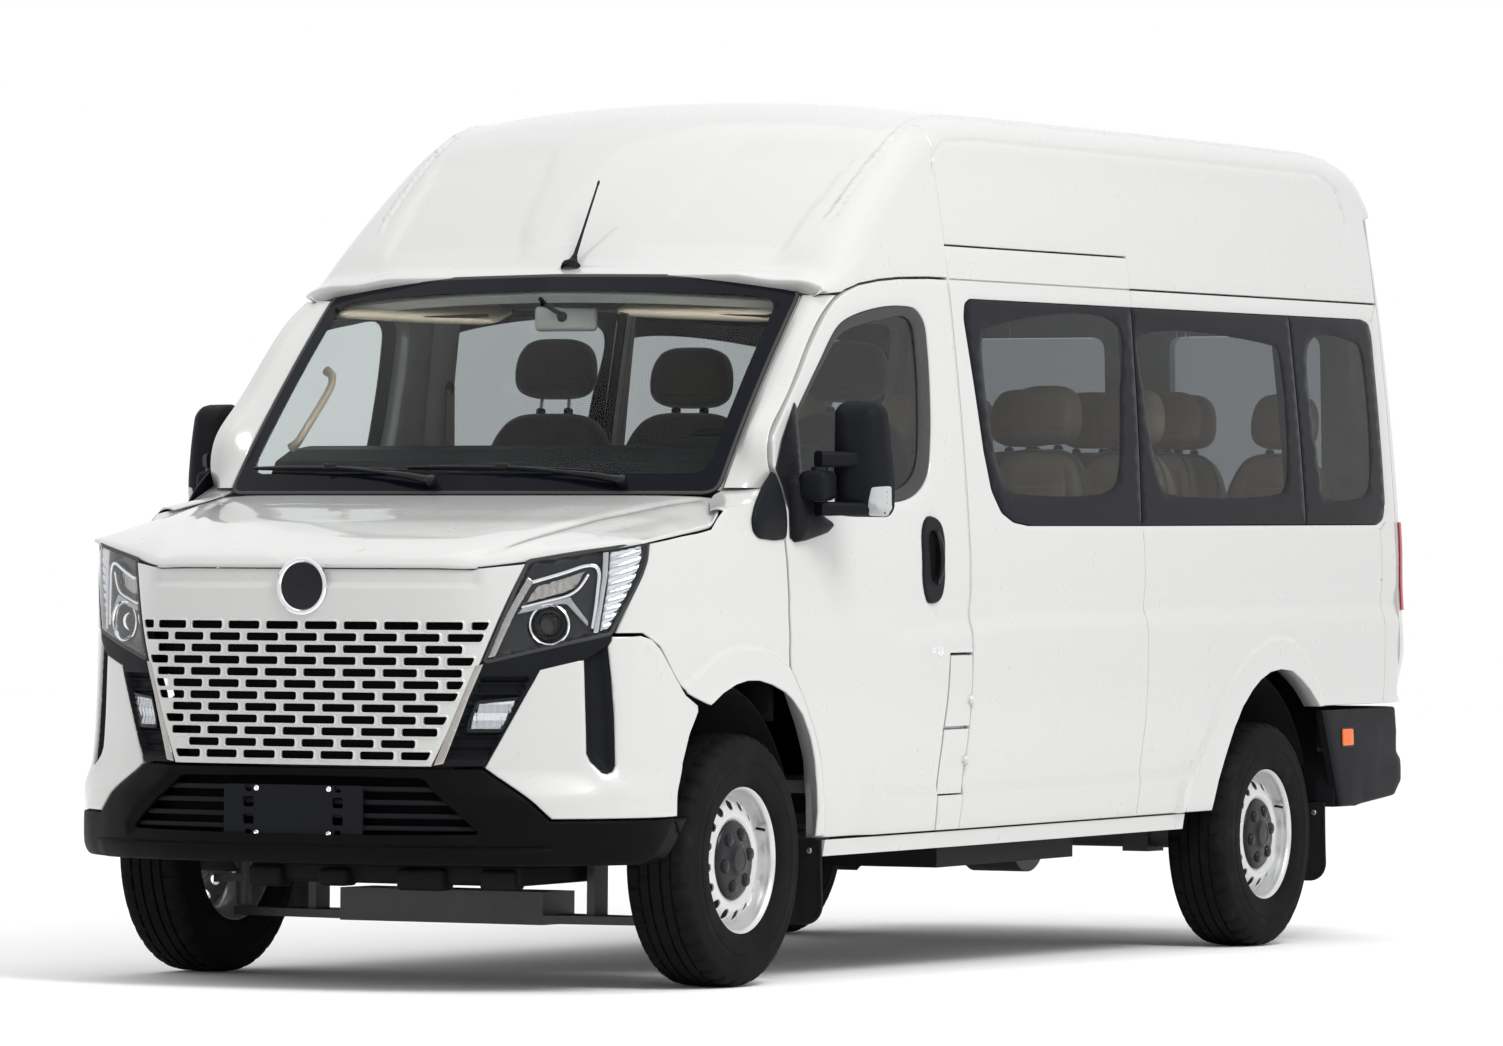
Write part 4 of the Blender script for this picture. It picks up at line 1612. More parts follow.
CHAMBER = [(684, 1152), (786, 1183), (826, 1199), (814, 1173), (800, 1146), (769, 1132), (658, 1101)]
RIBS = [(876, 1250), (990, 1266), (990, 1227), (972, 1182), (922, 1091), (893, 1030), (866, 1026), (876, 1144)]
for sgn, tag in ((1, "left"), (-1, "right")):
    o = shell("lamp_case_" + tag, grow_line(LENS, 5.0), [], nose_map(-3.0), np.array([-16.0, 24.0, 0]), "body", ["lamp_bezel"], step=13, edge=3.0, sx=sgn, slot="dark_plastic",
              disp=lamp_floor, extra=dense(grow_line(CHAMBER, -5), 8) + [(731 + r * math.cos(a), 1045 + r * math.sin(a)) for r in (30, 48, 53, 58, 64) for a in np.linspace(0, 2 * math.pi, 40, endpoint=False)])
    if sgn > 0:
        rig.replaces(o, "headlamps")
    shell("lamp_gasket_" + tag, grow_line(LENS, 4.0), [grow_line(LENS, -6.5)], nose_map(0.0), NIN, "body", ["seal"], step=14, edge=2.0, sx=sgn, disp=lambda s, z: 0.6 + 0 * s, slot="rubber_black")
    shell("lamp_lens_" + tag, grow_line(LENS, -5.5), [], nose_map(0.0), np.array([-1.6, 2.4, 0]), "body", ["lens"], step=22, edge=2.0, sx=sgn, slot="lamp_clear")
    shell("lamp_line_a_" + tag, ribbon(curve_pts([(667, 1161), (765, 1190), (815, 1207), (842, 1206), (853, 1187), (853, 1144), (851, 1087), (847, 1034)], 8), 11.0), [], nose_map(-12.0), NIN * 1.6, "body",
          ["chrome"], step=9, edge=3.5, sx=sgn, slot="lamp_clear", bstep=8)
    shell("lamp_line_b_" + tag, ribbon(curve_pts([(650, 1093), (718, 1110), (772, 1124), (801, 1142), (816, 1164), (826, 1184)], 8), 8.0), [], nose_map(-13.0), NIN * 1.6, "body",
          ["chrome"], step=9, edge=3.0, sx=sgn, slot="lamp_clear", bstep=8)
    shell("lamp_wedge_" + tag, soften([(640, 1074), (651, 1090), (783, 1121), (786, 1114), (833, 1054), (833, 1040), (774, 1101), (757, 1102)], 3, 2), [], nose_map(-10.0), NIN * 2.0, "body",
          ["lamp_white"], step=9, edge=3.0, sx=sgn, slot="lamp_clear", bstep=8)
    shell("lamp_post_" + tag, soften([(856, 1246), (872, 1248), (874, 1177), (862, 1022), (846, 1021), (856, 1097), (860, 1177)], 3, 2), [], nose_map(-6.0), NIN * 2.6, "body",
          ["reflector"], step=9, edge=3.5, sx=sgn, slot="lamp_clear", bstep=8)
    shell("lamp_blade_" + tag, soften([(660, 1180), (676, 1164), (640, 1090), (585, 957), (560, 951), (606, 1068)], 4, 2), [], nose_map(-8.0), NIN * 2.2, "body",
          ["satin_metal"], step=10, edge=4.0, sx=sgn, slot="lamp_clear", bstep=9)
    shell("lamp_chamber_" + tag, grow_line(CHAMBER, -2.0), [], nose_map(-33.0), NIN, "body", ["satin_metal"], step=8, edge=2.0, sx=sgn, slot="lamp_clear", disp=lambda s, z: 1.6 * np.sin(s / 3.2), bstep=8)
    shell("lamp_ribs_" + tag, soften(RIBS, 4, 2), [], nose_map(-14.0), NIN * 1.6, "body", ["reflector"], step=5.0, edge=2.0, sx=sgn, slot="lamp_clear", bstep=6,
          disp=lambda s, z: 4.0 * np.abs(np.sin((z - 0.25 * s) * math.pi / 23.0)) * smooth(seg_dist(RIBS, np.stack([s, z], 1)), 0, 6))
    # projector: bowl, chrome ring, dark throat and glass ball
    c, d = nose_point(731, 1045, 24.0), nose_dir(731, 1045)
    d = np.array([d[0] * 0.55, d[1], 0.0])
    d /= np.linalg.norm(d)
    c, d = c * np.array([sgn, 1, 1]), d * np.array([sgn, 1, 1])
    lathe("projector_bowl_" + tag, [(-26, 30), (-22, 36), (-10, 43), (2, 48), (8, 50), (12, 52), (14, 55), (12, 58), (6, 58), (2, 56)], c, d, "chrome", "body", "lamp_clear", 48)
    lathe("projector_throat_" + tag, [(-27, 1), (-27, 30), (-4, 36), (2, 37), (3, 39.5), (0, 41), (-8, 40)], c, d, "plastic_smooth", "body", "dark_plastic", 48)
    lathe("projector_ball_" + tag, [(-18, 33)] + [(-18 + 26 * math.sin(t), 33 * math.cos(t)) for t in np.linspace(0.05, math.pi / 2 - 0.02, 12)], c, d, "lens", "body", "lamp_clear", 48)
    lathe("projector_core_" + tag, [(-24, 0.5), (-22, 16), (-20, 24), (-24, 28)], c, d, "gloss_black", "body", "dark_plastic", 40)

# the dark surround below the lamp, the fog lamp pocket and the bright strip beside the panel
SUR = [(536, 938), (556, 945), (776, 991), (896, 1018), (899, 1012), (897, 1000), (890, 988), (828, 947), (709, 924), (697, 893), (628, 776), (560, 655), (416, 655), (472, 800)]
POCKET = [(545, 905), (684, 905), (668, 872), (572, 672), (440, 672), (500, 812)]
FOGL = soften([(536, 832), (655, 842), (606, 754), (512, 753), (514, 775)], 7, 3)


def sur_disp(s, z):
    P = np.stack([s, z], 1)
    ins = inside(POCKET, P)
    q = np.where(ins, smooth(seg_dist(POCKET, P), 0, 9), 0)
    rib = np.maximum(0, np.cos((z - 884.0) * 2 * math.pi / 29.0))**2
    dz = -26.0 + 17.0 * rib
    fog = inside(grow_line(FOGL, 9.0), P)
    dz = np.where(fog, -24.0, dz)
    return q * dz


sex = [(s, z) for z in np.arange(670, 910, 4.8) for s in np.arange(430, 700, 9.0)]
for sgn, tag in ((1, "left"), (-1, "right")):
    o = shell("surround_" + tag, SUR, [], nose_map(-1.0), np.array([-10.0, 30.0, 0]), "body", ["plastic"], step=11, edge=3.5, sx=sgn, slot="dark_plastic", disp=sur_disp, extra=sex)
    if sgn > 0:
        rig.replaces(o, "fog_lamp_housings")
    shell("bright_strip_" + tag, soften([(529, 933), (552, 937), (512, 842), (447, 662), (419, 657), (470, 790)], 2, 2), [], nose_map(1.0), np.array([-2.0, 8.0, 0]), "body", ["satin_metal"], step=9, edge=2.5, sx=sgn,
          slot="cast_metal", bstep=8)
    shell("fog_bowl_" + tag, grow_line(FOGL, -3.0), [], nose_map(-20.0), np.array([-3.0, 8.0, 0]), "body", ["reflector"], step=5.0, edge=3.0, sx=sgn, slot="lamp_clear", bstep=7,
          disp=lambda s, z: 3.5 * np.abs(np.sin(s * math.pi / 19.0)) + 2.0 * np.sin(z / 7.0))
    shell("fog_lens_" + tag, grow_line(FOGL, 1.0), [], nose_map(-9.0), np.array([-1.5, 2.4, 0]), "body", ["lens"], step=14, edge=2.5, sx=sgn, slot="lamp_clear")
    shell("fog_rim_" + tag, grow_line(FOGL, 5.0), [grow_line(FOGL, -3.0)], nose_map(-8.0), np.array([-4.0, 14.0, 0]), "body", ["plastic_smooth"], step=12, edge=2.0, sx=sgn, slot="dark_plastic")

# plain round badge with a bare face, on the panel under the bonnet lip
bc = nose_point(0, 1150, 0) + np.array([0, -3.0, 0])
lathe("badge_ring", [(-8, 70), (0, 79), (7, 80), (10, 76), (10, 70), (6, 66), (2, 65)], bc, (0, -1, 0.03), "chrome", "body", "cast_metal", 72)
lathe("badge_face", [(3, 66), (4, 60), (6.5, 36), (7.5, 1)], bc, (0, -1, 0.03), "plastic_smooth", "body", "dark_plastic", 64)

# --- number plate bracket ------------------------------------------------------------
plo, phi = [np.array(v) * 1000.0 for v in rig.box("plate_bracket")]
PW, PZ0, PZ1, PY0, PY1 = (phi[0] - plo[0]) / 2, plo[2], phi[2], plo[1], phi[1]
pzc = (PZ0 + PZ1) / 2


def plate_shell(name, outline, holes, y0, y1, mat, edge=2.0, step=16):
    V2, T, B, d = region(outline, holes, step, edge, (), 8)
    q = np.clip(d / edge, 0, 1)
    yo = y0 + edge * (1 - np.sqrt(np.clip(1 - (1 - q)**2, 0, 1)))
    P = np.concatenate([np.stack([V2[:, 0], yo, V2[:, 1]], 1), np.stack([V2[:, 0], 0 * yo + y1, V2[:, 1]], 1)]) / 1000.0
    N = len(V2)
    F = [tuple(r) for r in T] + [tuple(r) for r in (T[:, ::-1] + N)] + [(b, a, a + N, b + N) for a, b in B]
    return make_obj(name, P, F, [mat], "body", "dark_plastic", None, 35)


hs = []
for sx in (-1, 1):
    for sz in (-1, 1):
        hs.append([(sx * 116 + 3.5 * math.cos(a), pzc + sz * 62 + 3.5 * math.sin(a)) for a in np.linspace(0, 2 * math.pi, 16, endpoint=False)])
        hs.append(soften([(sx * 143 - 17, pzc + sz * 24 - 14), (sx * 143 + 17, pzc + sz * 24 - 14), (sx * 143 + 17, pzc + sz * 24 + 14), (sx * 143 - 17, pzc + sz * 24 + 14)], 6, 3))
        hs.append(soften([(sx * 143 - 10, pzc + sz * 62 - 9), (sx * 143 + 10, pzc + sz * 62 - 9), (sx * 143 + 10, pzc + sz * 62 + 9), (sx * 143 - 10, pzc + sz * 62 + 9)], 5, 3))
o = plate_shell("plate_holder", soften([(-PW, PZ0), (PW, PZ0), (PW, PZ1), (-PW, PZ1)], 10, 4), hs, PY0, PY1, "plastic", 2.5)
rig.replaces(o, "plate_bracket")
for i, (sx, sz) in enumerate(((-1, -1), (1, -1), (-1, 1), (1, 1))):
    c = np.array([sx * 116, PY0 - 1.0, pzc + sz * 62])
    lathe("plate_screw_%d" % i, [(-3, 3.2), (-1, 8.0), (0.8, 8.0), (2.4, 6.6), (2.8, 4.0), (1.0, 2.6), (1.0, 0.1)], c, (0, -1, 0), "chrome", "body", "steel", 20, to=lambda P: P / 1000.0)

# --- door handle, key lock, flap knobs, side markers -------------------------------------
def side_point(y, z, out=0.0):
    x = float(side_x(y, z)) + float(side_disp(np.array([float(y)]), np.array([float(z)]))[0])
    return np.array([x + out, y, z])


HNDL = flow([(1046, 1300), (1066, 1334), (1121, 1346), (1172, 1328), (1192, 1285), (1188, 1215), (1186, 1150), (1166, 1106), (1120, 1090), (1068, 1102), (1045, 1150), (1042, 1230)], 14)
HSLOT = flow([(1092, 1285), (1118, 1303), (1146, 1285), (1144, 1215), (1138, 1168), (1119, 1150), (1098, 1172), (1092, 1215)], 10)
for sgn, tag in ((1, "left"), (-1, "right")):
    b = "front_door_" + tag
    for nm, bb, dy in (("handle_" + tag, b, 0.0),) + ((("slide_handle", "body", 290.0),) if sgn < 0 else ()):
        mp = lambda y, z, dy=dy: np.stack([side_x(y, z) - (4.0 if dy == 0 else -1.0), y, z], 1)
        out = [(y + dy, z) for y, z in HNDL]
        slot_ = [(y + dy, z) for y, z in HSLOT]
        shell(nm + "_plate", out, [slot_], mp, np.array([-9.0, 0, 0]), bb, ["plastic"], step=11, edge=9.0, sx=sgn, slot="dark_plastic", disp=lambda y, z: 9.0 + 0 * y, bstep=9)
        shell(nm + "_well", grow_line(slot_, 3.0), [], mp, np.array([-3.0, 0, 0]), bb, ["deep_black"], step=14, edge=0, sx=sgn, slot="rubber_black", disp=lambda y, z: -10.0 + 0 * y)
        grip = ribbon(curve_pts([(1122 + dy, 1296), (1134 + dy, 1262), (1137 + dy, 1215), (1130 + dy, 1172), (1120 + dy, 1152)], 8), [15, 17] + [19] * 60)
        g = curve_pts([(1124 + dy, 1300), (1137 + dy, 1262), (1140 + dy, 1215), (1133 + dy, 1172), (1121 + dy, 1148)], 8)
        path = np.array([[float(side_x(a, z)) + 12.0 + 4.0 * math.sin(math.pi * i / (len(g) - 1)), a, z] for i, (a, z) in enumerate(g)]) * np.array([sgn, 1, 1])
        P = tube(path, np.array([5 + 4.5 * math.sin(math.pi * min(1, (i + 1) / (len(g)))) for i in range(len(g))]), 12)
        grid_mesh(nm + "_grip", W(P.reshape(-1, 3)).reshape(P.shape), ["plastic_smooth"], bb, "dark_plastic", close_v=True, caps=True)
    c = side_point(1105, 954) * np.array([sgn, 1, 1])
    lathe("key_lock_" + tag, [(-3, 13), (1.2, 12.5), (2.6, 11), (2.6, 5), (1.0, 4.2), (1.0, 0.1)], c, (sgn, 0, 0.05), "chrome", b, "cast_metal", 28)
for i, (y, z) in enumerate(((1356, 803), (1362, 625))):
    c = side_point(y, z, -1.0)
    bd = "filler_flap_upper" if i == 0 else "filler_flap_lower"
    lathe("flap_knob_%d" % i, [(-2, 16), (3, 16), (8, 14.5), (12, 11), (14, 6), (14.6, 0.1)], c, (1, 0.0, 0.1), "paint", "body", "white_paint", 28)
for sgn, tag in ((1, "left"), (-1, "right")):
    MK = [(4112, 657), (4204, 657), (4208, 603), (4116, 603)]
    BX = lambda y, z: np.stack([np.interp(y, [3960, 4180, 4450, 4600], [978, 975, 958, 938]), y, z], 1)
    shell("side_marker_" + tag, soften(MK, 7, 3), [], BX, np.array([-4.0, 0, 0]), "body", ["amber"], step=10, edge=4.0, sx=sgn, slot="lamp_clear", disp=lambda y, z: 4.5 + 0 * y, bstep=8)
    shell("side_marker_rim_" + tag, soften(grow_line(MK, 5.0), 9, 3), [soften(MK, 7, 3)], BX, np.array([-4.0, 0, 0]), "body", ["plastic_smooth"], step=10, edge=2.0, sx=sgn, slot="dark_plastic", disp=lambda y, z: 2.5 + 0 * y, bstep=8)

# --- mirrors -----------------------------------------------------------------------------------
HEAD = soften([(994, 1350), (1040, 1344), (1150, 1343), (1168, 1366), (1170, 1440), (1158, 1560), (1146, 1648), (1120, 1675), (1022, 1676), (996, 1652)], 26, 6)
TURN = soften([(1104, 1347), (1152, 1345), (1167, 1368), (1168, 1432), (1124, 1428)], 6, 3)
c8, s8 = math.cos(math.radians(8)), math.sin(math.radians(8))


def head_place(x, y, z):
    dx, dy = x - 1080.0, y - 416.0
    return np.stack([1080 + c8 * dx - s8 * dy, 416 + s8 * dx + c8 * dy, z], 1)


def head_disp(x, z):
    P = np.stack([x, z], 1)
    d = seg_dist(HEAD, P)
    q = np.clip(d / 62.0, 0, 1)
    return 60.0 * np.sqrt(np.clip(1 - (1 - q)**2, 0, 1)) + 6.0 * np.sin(math.pi * np.clip((z - 1343) / 333.0, 0, 1))


hex_ = [p for g in (-1.5, -4, -8, -13, -19, -26, -34, -43, -53, -62) for p in dense(grow_line(dense(HEAD, 14), g), 14)]
for sgn, tag in ((1, "left"), (-1, "right")):
    b = "front_door_" + tag
    o = shell("mirror_head_" + tag, HEAD, [], lambda x, z: head_place(x, 443.0 + 0 * x, z), np.array([0, 11.0, 0]), b, ["plastic"], step=15, edge=0, extra=hex_, disp=head_disp, sx=sgn, slot="dark_plastic", bstep=9)
    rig.replaces(o, "mirror_" + tag)
    shell("mirror_glass_" + tag, grow_line(HEAD, -12.0), [], lambda x, z: head_place(x, 455.0 + 0 * x, z), np.array([0, -3.0, 0]), b, ["mirror"], step=40, edge=0, sx=sgn, slot="cast_metal")
    shell("turn_lens_" + tag, TURN, [], lambda x, z: head_place(x, 443.0 + 0 * x, z), np.array([0, 4.0, 0]), b, ["lamp_white"], step=9, edge=2.0, sx=sgn, slot="lamp_clear",
          disp=lambda x, z: head_disp(x, z) + 1.8, bstep=8)

    def mb(name, lo, hi, r, mat="plastic", taper=None):
        lo, hi = np.array(lo, float), np.array(hi, float)
        if sgn < 0:
            lo[0], hi[0] = -hi[0], -lo[0]
        rounded_box(name, lo, hi, r, mat, b, "dark_plastic", taper=taper)
    mb("mirror_knuckle_" + tag, (956, 258, 1390), (1044, 348, 1476), 20)
    for nm, z0, z1, x1, r in (("mirror_arm_high_" + tag, 1484, 1532, 1085, 13), ("mirror_arm_low_" + tag, 1346, 1388, 1100, 12)):
        # a flat arm from the pivot out to the head
        P = []
        for t in np.linspace(0, 1, 9):
            xc, yc = 1000 + (x1 - 1000) * t, 304 + 104 * t**1.2
            w, h = 25 - 5 * t, (z1 - z0) / 2 * (1 - 0.12 * t)
            ring = []
            for a in np.linspace(0, 2 * math.pi, 28, endpoint=False):
                ca, sa = math.cos(a), math.sin(a)
                e = 2.0 / 4.0
                ring.append((xc + w * math.copysign(abs(ca)**e, ca) * 0.82, yc - w * math.copysign(abs(ca)**e, ca) * 0.57, (z0 + z1) / 2 + h * math.copysign(abs(sa)**e, sa)))
            P.append(ring)
        P = np.array(P) * np.array([sgn, 1, 1])
        grid_mesh(nm, W(P.reshape(-1, 3)).reshape(P.shape), ["plastic"], b, "dark_plastic", close_v=True, caps=True, flip=sgn < 0)
    for nm, z0, z1 in (("mirror_pin_high_" + tag, 1470, 1486), ("mirror_pin_low_" + tag, 1386, 1396)):
        lathe(nm, [(0, 0.1), (0, 24), (z1 - z0, 24), (z1 - z0, 0.1)], (sgn * 1004, 304, z0), (0, 0, 1), "plastic_smooth", b, "dark_plastic", 32)
    # moulded foot on the door's front corner
    FOOT = soften([(240, 1286), (244, 1330), (244, 1440), (264, 1466), (318, 1460), (356, 1430), (374, 1372), (420, 1347), (462, 1334), (474, 1313), (438, 1294), (330, 1276), (262, 1270)], 12, 4)
    DSAIL = soften([(237, 1280), (240, 1363), (212, 1430), (178, 1482), (226, 1562), (320, 1672), (330, 1660), (330, 1440), (330, 1284)], 6, 3)
    shell("mirror_sail_" + tag, DSAIL, [], side_map, np.array([-2.0, 0, 0]), b, ["plastic_smooth"], step=16, edge=2.5, disp=lambda y, z: 3.0 + 0 * y, sx=sgn, slot="dark_plastic", bstep=9)
    shell("mirror_foot_" + tag, FOOT, [], side_map, np.array([-6.0, 0, 0]), b, ["plastic"], step=11, edge=0, sx=sgn, slot="dark_plastic",
          extra=[p for g in (-1.5, -4, -8, -13, -19, -26, -34) for p in dense(grow_line(dense(FOOT, 12), g), 11)],
          disp=lambda y, z: 3.0 + 34.0 * np.sqrt(np.clip(1 - (1 - np.clip(seg_dist(FOOT, np.stack([y, z], 1)) / 40.0, 0, 1))**2, 0, 1)), bstep=9)

for sgn, tag in ((1, "left"), (-1, "right")):
    shell("handle_cup_" + tag, grow_line(HNDL, -5.0), [], side_map, np.array([-2.0, 0, 0]), "front_door_" + tag, ["deep_black"], step=14, edge=0, sx=sgn, slot="dark_plastic",
          disp=lambda y, z: door_disp(y, z) + 1.8)

# --- wheels ------------------------------------------------------------------------------------
HALF_TYRE = [(80.0, 203.9), (88, 205), (94, 209), (99, 217), (103, 230), (105.6, 246), (106.6, 262), (106.9, 266), (105.4, 268.5), (105.3, 276), (106.6, 278.5), (106.2, 290), (104.4, 304), (101.4, 318),
             (101.9, 320.5), (99.6, 330), (96, 339), (91.5, 346), (86, 350.5), (79, 353.5), (70, 355.2), (60, 356.0), (53.5, 356.4), (53, 349), (46, 349), (45.5, 356.6), (34, 357.0), (22.5, 357.3), (22, 349.5), (15, 349.5),
             (14.5, 357.5), (7, 357.6)]
TYRE_PROF = np.array([(-h, r) for h, r in HALF_TYRE] + [(0.0, 357.6)] + [(h, r) for h, r in reversed(HALF_TYRE)])
WHEELS = (("front_left", 1, 0.0, 829.0), ("front_right", -1, 0.0, 829.0), ("rear_left", 1, 3600.0, 844.0), ("rear_right", -1, 3600.0, 844.0))
DISC_R = [60, 72, 84, 96, 106, 112, 118, 124, 130, 137, 144, 150, 157, 164, 171, 177, 183, 190]
DISC_H = [38, 39, 41, 46, 54, 60, 65, 68, 69, 68.5, 67, 64.5, 61, 57, 51, 44, 39, 40]
for tag, sg, wy, wx in WHEELS:
    wb = "wheel_" + tag
    nv = 252
    ang = np.linspace(0, 2 * math.pi, nv, endpoint=False)
    hh, rr0 = TYRE_PROF[:, 0][:, None], TYRE_PROF[:, 1][:, None]
    ph = np.arange(nv)[None, :] % 7
    shoulder = (np.abs(hh) > 53.2) & (rr0 > 338)
    mid = (np.abs(hh) < 46) & (np.abs(hh) > 22) & (rr0 > 352)
    cut = 6.5 * shoulder * np.isin(ph, (0, 1)) + 3.2 * mid * np.isin((ph + 3) % 7, (0,)) + 2.2 * ((np.abs(hh) < 14) & (rr0 > 352)) * np.isin((ph + 5) % 7, (0,))
    rr = rr0 - cut * np.where(shoulder, smooth(rr0, 338, 347), 1.0)
    G = np.stack([sg * (wx + hh + 0 * rr), wy + rr * np.cos(ang)[None, :], 358.0 + rr * np.sin(ang)[None, :]], 2)
    t = grid_mesh("tyre_skin_" + tag, LV(G.reshape(-1, 3)).reshape(G.shape), ["tyre"], wb, "tyre_rubber", close_v=True, flip=(sg < 0), sharp=32.0)
    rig.replaces(t, "tyre_" + tag)
    cx = (sg * wx, wy, 358.0)
    ax = (sg, 0, 0)
    t = lathe("rim_barrel_" + tag, [(-86, 206), (-91, 208), (-90, 204), (-82, 199), (-60, 194), (-34, 178), (0, 176), (22, 178), (34, 186), (44, 191), (56, 193), (66, 194.5), (72, 197), (77, 196), (82, 198), (87, 202), (90, 206),
                                     (92.5, 209.5), (91, 211.5), (88, 210), (85.5, 206), (80, 203), (-80, 203), (-86, 206)], cx, ax, "wheel_paint", wb, "wheel_silver", 96, to=LV, sharp=45.0)
    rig.replaces(t, "rim_" + tag)

    def disc_map(a, b, cx=cx, sg=sg):
        r = np.hypot(a, b)
        return np.stack([sg * (abs(cx[0]) + np.interp(r, DISC_R, DISC_H)), cx[1] + a, cx[2] + b], 1)
    circ = [(188 * math.cos(q), 188 * math.sin(q)) for q in np.linspace(0, 2 * math.pi, 96, endpoint=False)]
    inner_c = [(62 * math.cos(q), 62 * math.sin(q)) for q in np.linspace(0, 2 * math.pi, 40, endpoint=False)]
    holes16 = [[(157 * math.cos(k) + 14.5 * math.cos(q), 157 * math.sin(k) + 14.5 * math.sin(q)) for q in np.linspace(0, 2 * math.pi, 20, endpoint=False)] for k in np.arange(16) * math.pi / 8 + 0.12]
    ring_ex = [(r * math.cos(q), r * math.sin(q)) for r in (76, 90, 100, 108, 113, 118, 122, 127, 132, 137, 142, 147, 175, 179, 183) for q in np.linspace(0, 2 * math.pi, 64, endpoint=False)]
    shell("rim_disc_" + tag, circ, [inner_c] + holes16, disc_map, np.array([-6.0 * sg, 0, 0]), wb, ["wheel_paint"], step=14, edge=2.2, extra=ring_ex, bstep=6.5, slot="wheel_silver", to=LV)
    lathe("hub_cap_" + tag, [(44, 105), (58, 110), (63, 110.5), (67, 108), (70, 103), (72.5, 97), (74, 90), (76.5, 74), (79, 58), (81.5, 47), (84.5, 43), (86.5, 40), (87.5, 36), (87.5, 30), (86.2, 28), (86.8, 14), (87, 0.6)],
          cx, ax, "plastic_smooth", wb, "dark_plastic", 80, to=LV)
    for k in range(6):
        q = math.radians(60 * k + 12)
        nc = (sg * wx, wy + 76 * math.cos(q), 358.0 + 76 * math.sin(q))
        lathe("hub_nut_%s_%d" % (tag, k), [(70, 20.5), (78, 19.5), (82, 17.0), (84.5, 12.0), (85.5, 6), (85.8, 0.5)], nc, ax, "plastic_smooth", wb, "dark_plastic", 24, to=LV)
    vq = math.radians(28)
    tube_obj("valve_" + tag, LV([(sg * (wx + 52), wy + 183 * math.cos(vq), 358 + 183 * math.sin(vq)), (sg * (wx + 66), wy + 180 * math.cos(vq), 358 + 180 * math.sin(vq)), (sg * (wx + 82), wy + 174 * math.cos(vq), 358 + 174 * math.sin(vq))]),
             0.0042, "rubber", wb, "rubber_black", 10)

# --- mud flaps ----------------------------------------------------------------------------------
first_flap = None
for nm, x0, x1, y0, z0, z1 in (("front", 742, 924, 480.0, 172, 420), ("rear", 752, 934, 4074.0, 163, 420)):
    for sgn, tag in ((1, "left"), (-1, "right")):
        ol = [(x1, z1), (x1, z0 + 62)] + [(x1 - 62 + 62 * math.cos(q), z0 + 62 + 62 * math.sin(q)) for q in np.linspace(-0.2, -1.5, 7)] + [(x0 + 24, z0), (x0 + 4, z0 + 20), (x0, z0 + 60), (x0 + 14, z1)]

        def flap_disp(a, b, ol=ol):
            dd = seg_dist(ol, np.stack([a, b], 1))
            return 2.6 * np.exp(-((dd - 6.0) / 3.4)**2) - 1.2 * np.exp(-(((a - 0.5 * (ol[0][0] + ol[-1][0])) / 9.0)**2))
        o = shell("mud_flap_%s_%s" % (nm, tag), ol, [], lambda a, b, y0=y0: np.stack([a, y0 + 14.0 * np.clip((420 - b) / 250.0, 0, 1)**2 - 0.00035 * (a - 830)**2, b], 1), np.array([0, 4.0, 0]), "body", ["rubber"],
                  step=9, edge=2.0, sx=sgn, slot="rubber_black", disp=flap_disp)
        if first_flap is None:
            first_flap = o
            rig.replaces(o, "mud_flaps")
        for sx_, sz_ in ((x0 + 60, z1 - 60), (x1 - 40, z1 - 34), (x0 + 90, z1 - 130)):
            lathe("flap_screw_%s_%s_%d" % (nm, tag, int(sx_)), [(0, 9), (2.0, 9), (3.6, 7), (4.2, 4), (3.2, 3.6), (3.0, 0.5)], (sgn * sx_, y0 - 1.0, sz_), (0, -1, 0), "steel", "body", "steel", 20)

# --- wipers ---------------------------------------------------------------------------------------
def on_screen(x, z, off):
    return np.array([x, float(screen_y(x, z)) - 0.69 * off, z + 0.72 * off])


